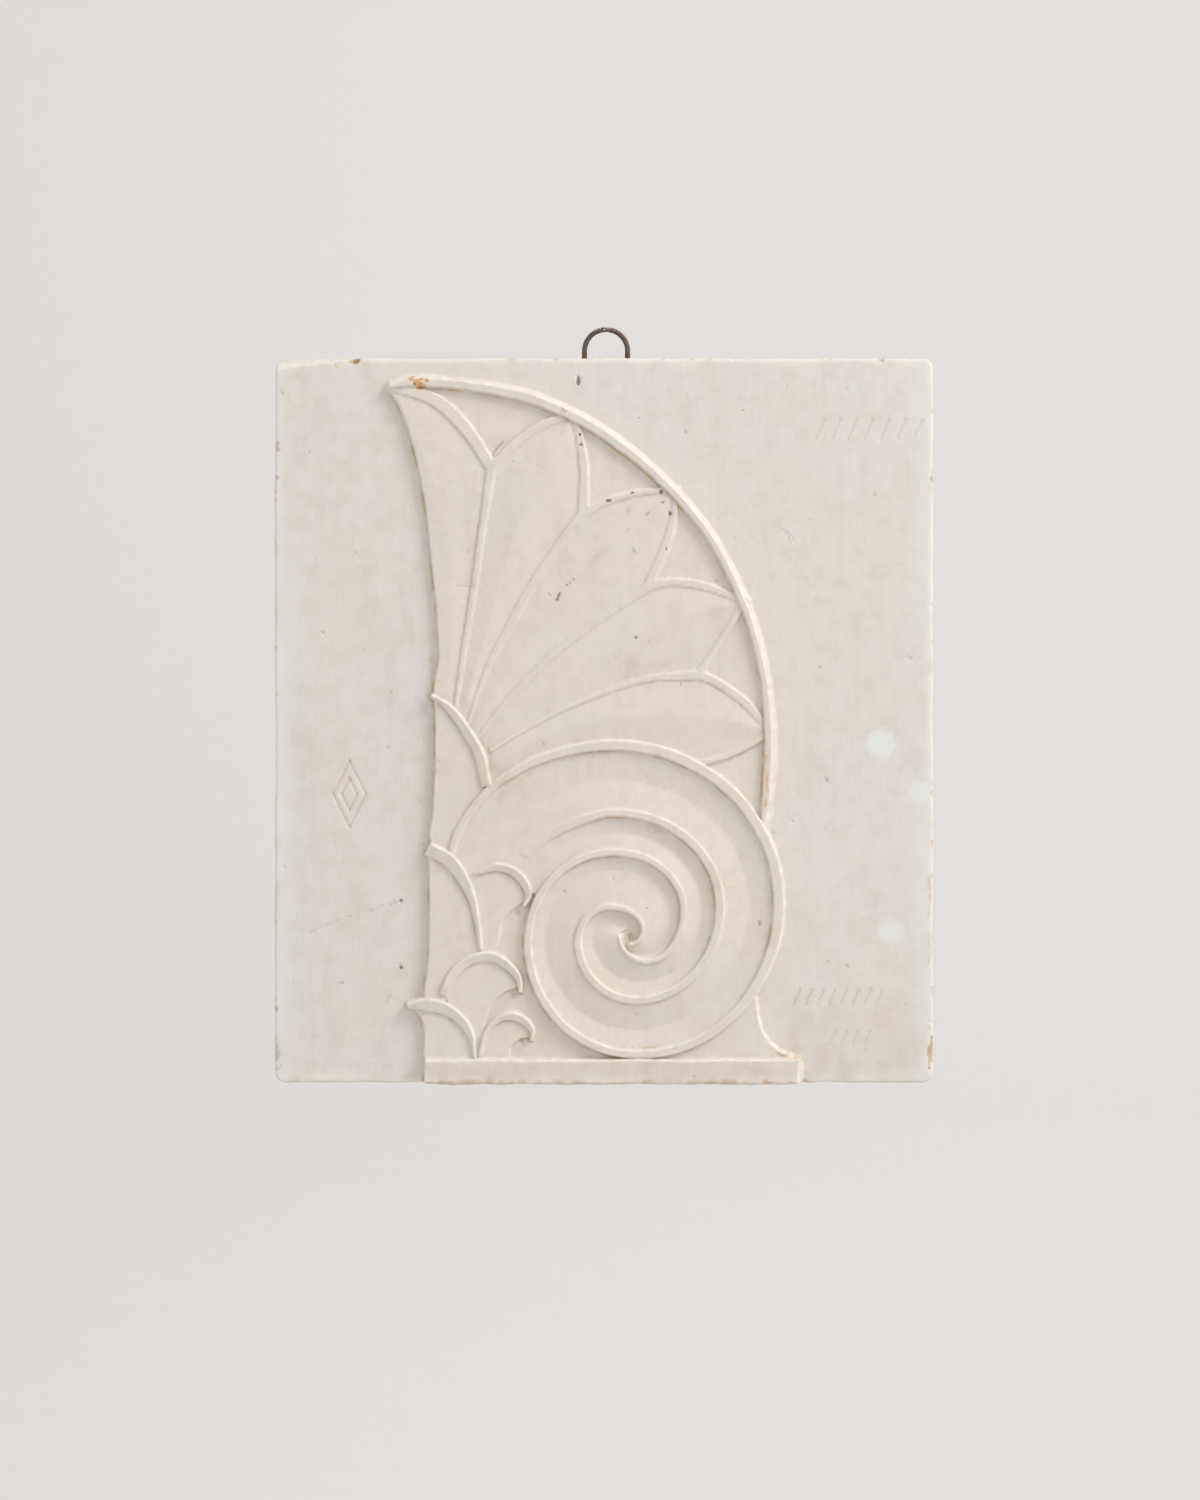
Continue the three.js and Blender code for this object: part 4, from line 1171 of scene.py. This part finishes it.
    def front_sheet(self, place: HeightField) -> bmesh.types.BMesh:
        """Makes the front sheet as a grid, refined where the face is carved or marked.

        Args:
            place: the finished height field and its tints.

        Returns:
            The flat sheet in millimetres, without its heights.
        """
        inner = (self.width - 2 * self.rounding, self.height - 2 * self.rounding)
        counts = [round(side / self.coarse) for side in inner]
        maker = bmesh.new()
        bmesh.ops.create_grid(maker, x_segments=counts[0], y_segments=counts[1], size=0.5)
        bmesh.ops.scale(maker, vec=(inner[0], inner[1], 1), verts=maker.verts)
        bmesh.ops.translate(maker, vec=(self.width / 2, self.height / 2, 0), verts=maker.verts)
        border = place.to_border()
        near_corner = np.hypot(
            np.minimum(place.x, place.width - place.x), np.minimum(place.z, place.height - place.z),
        )
        tinted = sum(place.tints[tint] for tint in (Tint.TAN, Tint.DARK, Tint.PALE))
        surely = 9.0
        for parts, soft, least in self.levels:
            cell = self.coarse / parts
            detail = np.abs(place.heights - place.blurred(place.heights, soft)) / least
            detail = np.maximum(detail, np.abs(tinted - place.blurred(tinted, soft)) / self.least_tint)
            detail = np.maximum(detail, surely * (near_corner < self.fine_corner) * (parts < 4))
            detail = np.maximum(detail, surely * (border < self.fine_border) * (parts == 1))
            self.refine(maker, place, self.widest(detail, int(cell / 2 / place.step)))
            log.info("cells of %.1f mm refined, %d faces", cell, len(maker.faces))
        return maker

    def widest(self, values: np.ndarray, cells: int) -> np.ndarray:
        """The largest value within a number of cells of each cell."""
        for axis in (0, 1):
            spread = values
            for shift in range(1, cells + 1):
                spread = np.maximum(spread, np.roll(values, shift, axis))
                spread = np.maximum(spread, np.roll(values, -shift, axis))
            values = spread
        return values

    def refine(self, maker: bmesh.types.BMesh, place: HeightField, detail: np.ndarray) -> None:
        """Subdivides the faces over detailed cells."""
        faces = list(maker.faces)
        centres = np.array([face.calc_center_bounds()[:2] for face in faces])
        wanted = place.sample(detail, centres[:, 0], centres[:, 1]) > 1
        edges = {edge for face, chosen in zip(faces, wanted) if chosen for edge in face.edges}
        bmesh.ops.subdivide_edges(maker, edges=list(edges), cuts=1, use_grid_fill=True)

    def close(self, maker: bmesh.types.BMesh, place: HeightField) -> None:
        """Rounds the sheet's corners, lifts it to its heights, and adds the sides and the back."""
        self.round_corners(maker)
        self.draw_to_edges(maker, place)
        flat = np.array([vertex.co[:2] for vertex in maker.verts])
        heights = place.sample(place.heights, flat[:, 0], flat[:, 1])
        for vertex, height in zip(maker.verts, heights):
            vertex.co.z = height
        edges = [edge for edge in maker.edges if edge.is_boundary]
        ways = self.outward(edges)
        waver = 0.8 * place.noise(14, 14, 21) + 0.2 * place.noise(3, 3, 22)
        quarter = [(math.sin(turn), 1 - math.cos(turn)) for turn in np.linspace(0, math.pi / 2, 4)[1:]]
        start = {vertex: (vertex.co.copy(), ways[vertex]) for vertex in ways}
        deep = -self.thickness
        for out, fall in quarter:
            edges, start = self.ring(maker, edges, start, lambda home, way: (
                home.x + way.x * out * self.rounding * self.pull(waver, place, home, 0.0),
                home.y + way.y * out * self.rounding * self.pull(waver, place, home, 0.0),
                home.z - fall * self.rounding,
            ))
        for level in (0.25, 0.6, 0.93):
            edges, start = self.ring(maker, edges, start, lambda home, way: (
                home.x + way.x * self.rounding * self.pull(waver, place, home, level),
                home.y + way.y * self.rounding * self.pull(waver, place, home, level),
                (home.z - self.rounding) * (1 - level) + (deep + self.rounding) * level,
            ))
        for out, fall in [(1.0, 1.0), *[(1 - rise, 1 - side) for side, rise in quarter]]:
            edges, start = self.ring(maker, edges, start, lambda home, way: (
                home.x + way.x * out * self.rounding, home.y + way.y * out * self.rounding,
                deep + fall * self.rounding,
            ))
        edges, start = self.ring(maker, edges, start, lambda home, way: (
            home.x - way.x * self.back_border, home.y - way.y * self.back_border, deep,
        ))
        bmesh.ops.contextual_create(maker, geom=edges)
        bmesh.ops.recalc_face_normals(maker, faces=maker.faces)
        turn = Matrix((
            (MM, 0, 0, self.low.x), (0, 0, -MM, self.front), (0, MM, 0, self.low.z), (0, 0, 0, 1),
        ))
        bmesh.ops.transform(maker, matrix=turn, verts=maker.verts)
        for face in maker.faces:
            face.smooth = True

    def draw_to_edges(self, maker: bmesh.types.BMesh, place: HeightField) -> None:
        """Moves the finest vertices a little to the nearest sharp edge, so that edges stay crisp."""
        bend = np.abs(place.heights - place.blurred(place.heights, 0.35))
        bend = place.blurred(bend, 0.3)
        up, right = np.gradient(bend, place.step)
        inner = [
            vertex for vertex in maker.verts
            if not vertex.is_boundary and vertex.link_edges[0].calc_length() < self.coarse / 5
        ]
        for _ in range(3):
            flat = np.array([vertex.co[:2] for vertex in inner])
            x, z = flat[:, 0], flat[:, 1]
            ways = np.column_stack([place.sample(right, x, z), place.sample(up, x, z)])
            steep = np.maximum(np.linalg.norm(ways, axis=1, keepdims=True), 0.02)
            steps = ways / steep * np.clip(steep * 0.5, 0, self.widest_draw)
            for vertex, (dx, dz) in zip(inner, steps):
                vertex.co.x += dx
                vertex.co.y += dz

    def pull(self, waver: np.ndarray, place: HeightField, home: Vector, level: float) -> float:
        """How far the side stands out at a place, a little hollow where the plaster was struck off."""
        uneven = place.sample(waver, np.array([home.x]), np.array([home.y * 0.6 + level * 90]))[0]
        return 1 - 0.5 * abs(float(uneven))

    def round_corners(self, maker: bmesh.types.BMesh) -> None:
        """Pulls the sheet's corner vertices in on to round corners."""
        for vertex in maker.verts:
            x = min(max(vertex.co.x, self.corner), self.width - self.corner)
            y = min(max(vertex.co.y, self.corner), self.height - self.corner)
            way = Vector((vertex.co.x - x, vertex.co.y - y, 0))
            if way.x and way.y and way.length > 1e-6:
                square = max(abs(way.x), abs(way.y))
                vertex.co.x = x + way.x / way.length * square
                vertex.co.y = y + way.y / way.length * square

    def outward(self, edges: list[bmesh.types.BMEdge]) -> dict[bmesh.types.BMVert, Vector]:
        """The outward way at each vertex of the sheet's border."""
        ways = {}
        for vertex in {vertex for edge in edges for vertex in edge.verts}:
            x = min(max(vertex.co.x, self.corner), self.width - self.corner)
            y = min(max(vertex.co.y, self.corner), self.height - self.corner)
            ways[vertex] = Vector((vertex.co.x - x, vertex.co.y - y, 0)).normalized()
        return ways

    def ring(self, maker: bmesh.types.BMesh, edges: list[bmesh.types.BMEdge], start: Border,
             place_at: Callable[[Vector, Vector], tuple[float, float, float]],
             ) -> tuple[list[bmesh.types.BMEdge], Border]:
        """Extrudes the border once, and puts the new vertices where a rule says.

        Args:
            maker: the mesh that is extruded.
            edges: its open border.
            start: the sheet's own border place and outward way for each vertex of that border.
            place_at: gives a new vertex its place from those two.

        Returns:
            The new border, and the same table for it.
        """
        made = bmesh.ops.extrude_edge_only(maker, edges=edges)["geom"]
        fresh = [item for item in made if isinstance(item, bmesh.types.BMVert)]
        new_edges = [item for item in made if isinstance(item, bmesh.types.BMEdge) and item.is_boundary]
        table = {}
        lookup = {tuple(round(value, 5) for value in vertex.co): home for vertex, home in start.items()}
        for vertex in fresh:
            table[vertex] = lookup[tuple(round(value, 5) for value in vertex.co)]
        for vertex, (home, way) in table.items():
            vertex.co = place_at(home, way)
        return new_edges, table

    def tint(self, piece: bpy.types.Object, place: HeightField) -> None:
        """Writes the tints to the mesh as attributes, fading out on the sides and the back."""
        mesh = piece.data
        flat = np.empty(len(mesh.vertices) * 3)
        mesh.vertices.foreach_get("co", flat)
        flat = flat.reshape(-1, 3)
        x, z = (flat[:, 0] - self.low.x) / MM, (flat[:, 2] - self.low.z) / MM
        behind = ease(((flat[:, 1] - self.front) / MM - 0.4) / 1.6)
        for tint, values in place.tints.items():
            read = place.sample(values, x, z) * (1 - behind)
            if tint is Tint.WARM:
                read += 0.45 * behind
            made = mesh.attributes.new(tint.value, "FLOAT", "POINT")
            made.data.foreach_set("value", np.clip(read, 0, 1).astype(np.float32))

    def turn_normals(self, mesh: bpy.types.Mesh, place: HeightField) -> None:
        """Gives the front its normals from the height field, which keeps the carving's edges crisp."""
        flat, own = np.empty(len(mesh.vertices) * 3), np.empty(len(mesh.vertices) * 3)
        mesh.vertices.foreach_get("co", flat)
        mesh.vertices.foreach_get("normal", own)
        flat, own = flat.reshape(-1, 3), own.reshape(-1, 3)
        x, z = (flat[:, 0] - self.low.x) / MM, (flat[:, 2] - self.low.z) / MM
        up, right = np.gradient(place.heights, place.step)
        exact = np.column_stack([-place.sample(right, x, z), -np.ones(len(x)), -place.sample(up, x, z)])
        exact /= np.linalg.norm(exact, axis=1, keepdims=True)
        inward = np.minimum.reduce([x, self.width - x, z, self.height - z])
        share = (ease((inward - 2.5) / 1.5) * (own[:, 1] < 0))[:, None]
        mesh.normals_split_custom_set_from_vertices(own * (1 - share) + exact * share)


@dataclass
class WireLoop:
    """The hanging loop: a round arch of wire on two straight legs that stand in the plaster."""

    low: Vector
    high: Vector
    plaster_top: float
    wire_thickness: float = 2.5
    sides: int = 20
    arch_steps: int = 36
    leg_steps: int = 10
    dent_depth: float = 0.05
    finish: WireFinish = WireFinish()

    def build(self) -> bpy.types.Object:
        """Builds the loop by spinning a circle over the arch and extruding both legs."""
        radius = self.wire_thickness * MM / 2
        spread = (self.high.x - self.low.x) / 2 - radius
        spring = self.high.z - radius - spread
        middle = (self.low.x + self.high.x) / 2
        maker = bmesh.new()
        ring = bmesh.ops.create_circle(maker, cap_ends=False, radius=radius, segments=self.sides)["verts"]
        bmesh.ops.translate(maker, vec=(middle - spread, 0, spring), verts=ring)
        edges = list(maker.edges)
        arch = bmesh.ops.spin(
            maker, geom=ring + edges, cent=(middle, 0, spring), axis=(0, 1, 0), angle=math.pi,
            steps=self.arch_steps,
        )["geom_last"]
        far = [item for item in arch if isinstance(item, bmesh.types.BMEdge)]
        for foot in (edges, far):
            self.leg(maker, foot, spring)
        bmesh.ops.recalc_face_normals(maker, faces=maker.faces)
        self.hammer(maker)
        for face in maker.faces:
            face.smooth = len(face.verts) == 4
        material = self.finish.material(self.high.z, self.plaster_top)
        piece = finished("wire_loop", maker, material, "hanging_loop")
        log.info("wire_loop: %d faces", len(piece.data.polygons))
        return piece

    def leg(self, maker: bmesh.types.BMesh, edges: list[bmesh.types.BMEdge], spring: float) -> None:
        """Extrudes one leg down to its end in the plaster and closes it."""
        for _ in range(self.leg_steps):
            made = bmesh.ops.extrude_edge_only(maker, edges=edges)["geom"]
            fresh = [item for item in made if isinstance(item, bmesh.types.BMVert)]
            edges = [
                item for item in made if isinstance(item, bmesh.types.BMEdge) and item.is_boundary
            ]
            bmesh.ops.translate(maker, vec=(0, 0, (self.low.z - spring) / self.leg_steps), verts=fresh)
        bmesh.ops.contextual_create(maker, geom=edges)

    def hammer(self, maker: bmesh.types.BMesh) -> None:
        """Draws the wire's surface in a little here and there, as bending and rust left it."""
        maker.normal_update()
        for vertex in maker.verts:
            x, y, z = vertex.co / MM
            dent = math.sin(1.9 * x + 0.7) * math.sin(2.3 * z + 1.1)
            dent += 0.5 * math.sin(4.1 * x + 3.3 * y + 2.7 * z)
            vertex.co -= vertex.normal * self.dent_depth * MM * (1.5 + dent)


@dataclass(frozen=True)
class Studio:
    """A plain pale floor and backdrop, soft light from the upper right, and the camera, in metres."""

    floor_height: float = -1.5
    backdrop_depth: float = 2.4
    floor_half_width: float = 6.0
    floor_half_depth: float = 4.5
    wall_height: float = 5.0
    sweep: float = 0.8
    paper: str = "eae9ea"
    lamp: str = "fffaf4"
    room: str = "f4f2ee"
    camera_gap: float = 1.137
    lens: float = 60.0
    key_way: tuple[float, float, float] = (1.7, -1.1, 1.6)
    key_size: float = 1.0
    key_power: float = 35.0
    room_strength: float = 0.88
    aim_below_top: float = 0.1784
    aim_left: float = 0.0018

    def build(self, plaque_front: float, slab_top: float, middle: float) -> None:
        """Sets up the floor, the lights and the camera.

        Args:
            plaque_front: where the slab's face lies, in metres.
            slab_top: the height of the slab's top edge.
            middle: the middle of the slab's width.
        """
        self.backdrop()
        aim = Vector((middle - self.aim_left, plaque_front, slab_top - self.aim_below_top))
        self.light(aim + Vector(self.key_way), aim)
        self.world()
        lens = bpy.data.cameras.new("camera")
        lens.lens = self.lens
        lens.sensor_width = 36.0
        camera = bpy.data.objects.new("camera", lens)
        camera.location = aim - Vector((0, self.camera_gap, 0))
        camera.rotation_euler = (math.pi / 2, 0, 0)
        bpy.context.scene.collection.objects.link(camera)
        bpy.context.scene.camera = camera

    def backdrop(self) -> None:
        """Makes a floor that sweeps up into a wall."""
        maker = bmesh.new()
        bmesh.ops.create_grid(maker, x_segments=1, y_segments=1, size=1)
        bmesh.ops.scale(maker, vec=(self.floor_half_width, self.floor_half_depth, 1), verts=maker.verts)
        middle = (0, self.backdrop_depth - self.floor_half_depth, self.floor_height)
        bmesh.ops.translate(maker, vec=middle, verts=maker.verts)
        rear = [
            edge for edge in maker.edges
            if all(vertex.co.y > self.backdrop_depth - 0.1 for vertex in edge.verts)
        ]
        made = bmesh.ops.extrude_edge_only(maker, edges=rear)["geom"]
        risen = [item for item in made if isinstance(item, bmesh.types.BMVert)]
        bmesh.ops.translate(maker, vec=(0, 0, self.wall_height), verts=risen)
        fold = [edge for edge in maker.edges if len(edge.link_faces) == 2]
        bmesh.ops.bevel(
            maker, geom=fold, offset=self.sweep, segments=14, profile=0.5, affect="EDGES", material=-1,
        )
        for face in maker.faces:
            face.smooth = True
        mesh = bpy.data.meshes.new("studio_floor")
        maker.to_mesh(mesh)
        maker.free()
        paper = bpy.data.materials.new("backdrop_paper")
        paper.use_nodes = True
        shader = paper.node_tree.nodes["Principled BSDF"]
        shader.inputs["Base Color"].default_value = linear(self.paper)
        shader.inputs["Roughness"].default_value = 0.9
        mesh.materials.append(paper)
        floor = bpy.data.objects.new("studio_floor", mesh)
        bpy.context.scene.collection.objects.link(floor)

    def light(self, place: Vector, aim: Vector) -> None:
        """Adds the soft square key light."""
        data = bpy.data.lights.new("key", "AREA")
        data.size = self.key_size
        data.energy = self.key_power
        data.color = linear(self.lamp)[:3]
        lamp = bpy.data.objects.new("key", data)
        lamp.location = place
        lamp.rotation_euler = (aim - place).to_track_quat("-Z", "Y").to_euler()
        bpy.context.scene.collection.objects.link(lamp)

    def world(self) -> None:
        """Lights the room evenly."""
        world = bpy.data.worlds.new("room_light")
        world.use_nodes = True
        bpy.context.scene.world = world
        nodes = world.node_tree.nodes
        nodes["Background"].inputs["Color"].default_value = linear(self.room)
        nodes["Background"].inputs["Strength"].default_value = self.room_strength
        bpy.context.scene.view_settings.view_transform = "Standard"


def main() -> None:
    """Builds the plaque and the studio."""
    logging.basicConfig(level=logging.INFO, format="%(message)s")
    low, high = (Vector(corner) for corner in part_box("plaster_plaque"))
    loop_low, loop_high = (Vector(corner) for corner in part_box("hanging_loop"))
    casting = PlasterCasting(low, high, low.y + PlasterCasting.relief * MM)
    casting.build()
    WireLoop(loop_low, loop_high, high.z).build()
    Studio().build(casting.front, high.z, (low.x + high.x) / 2)


if __name__ == "__main__":
    main()
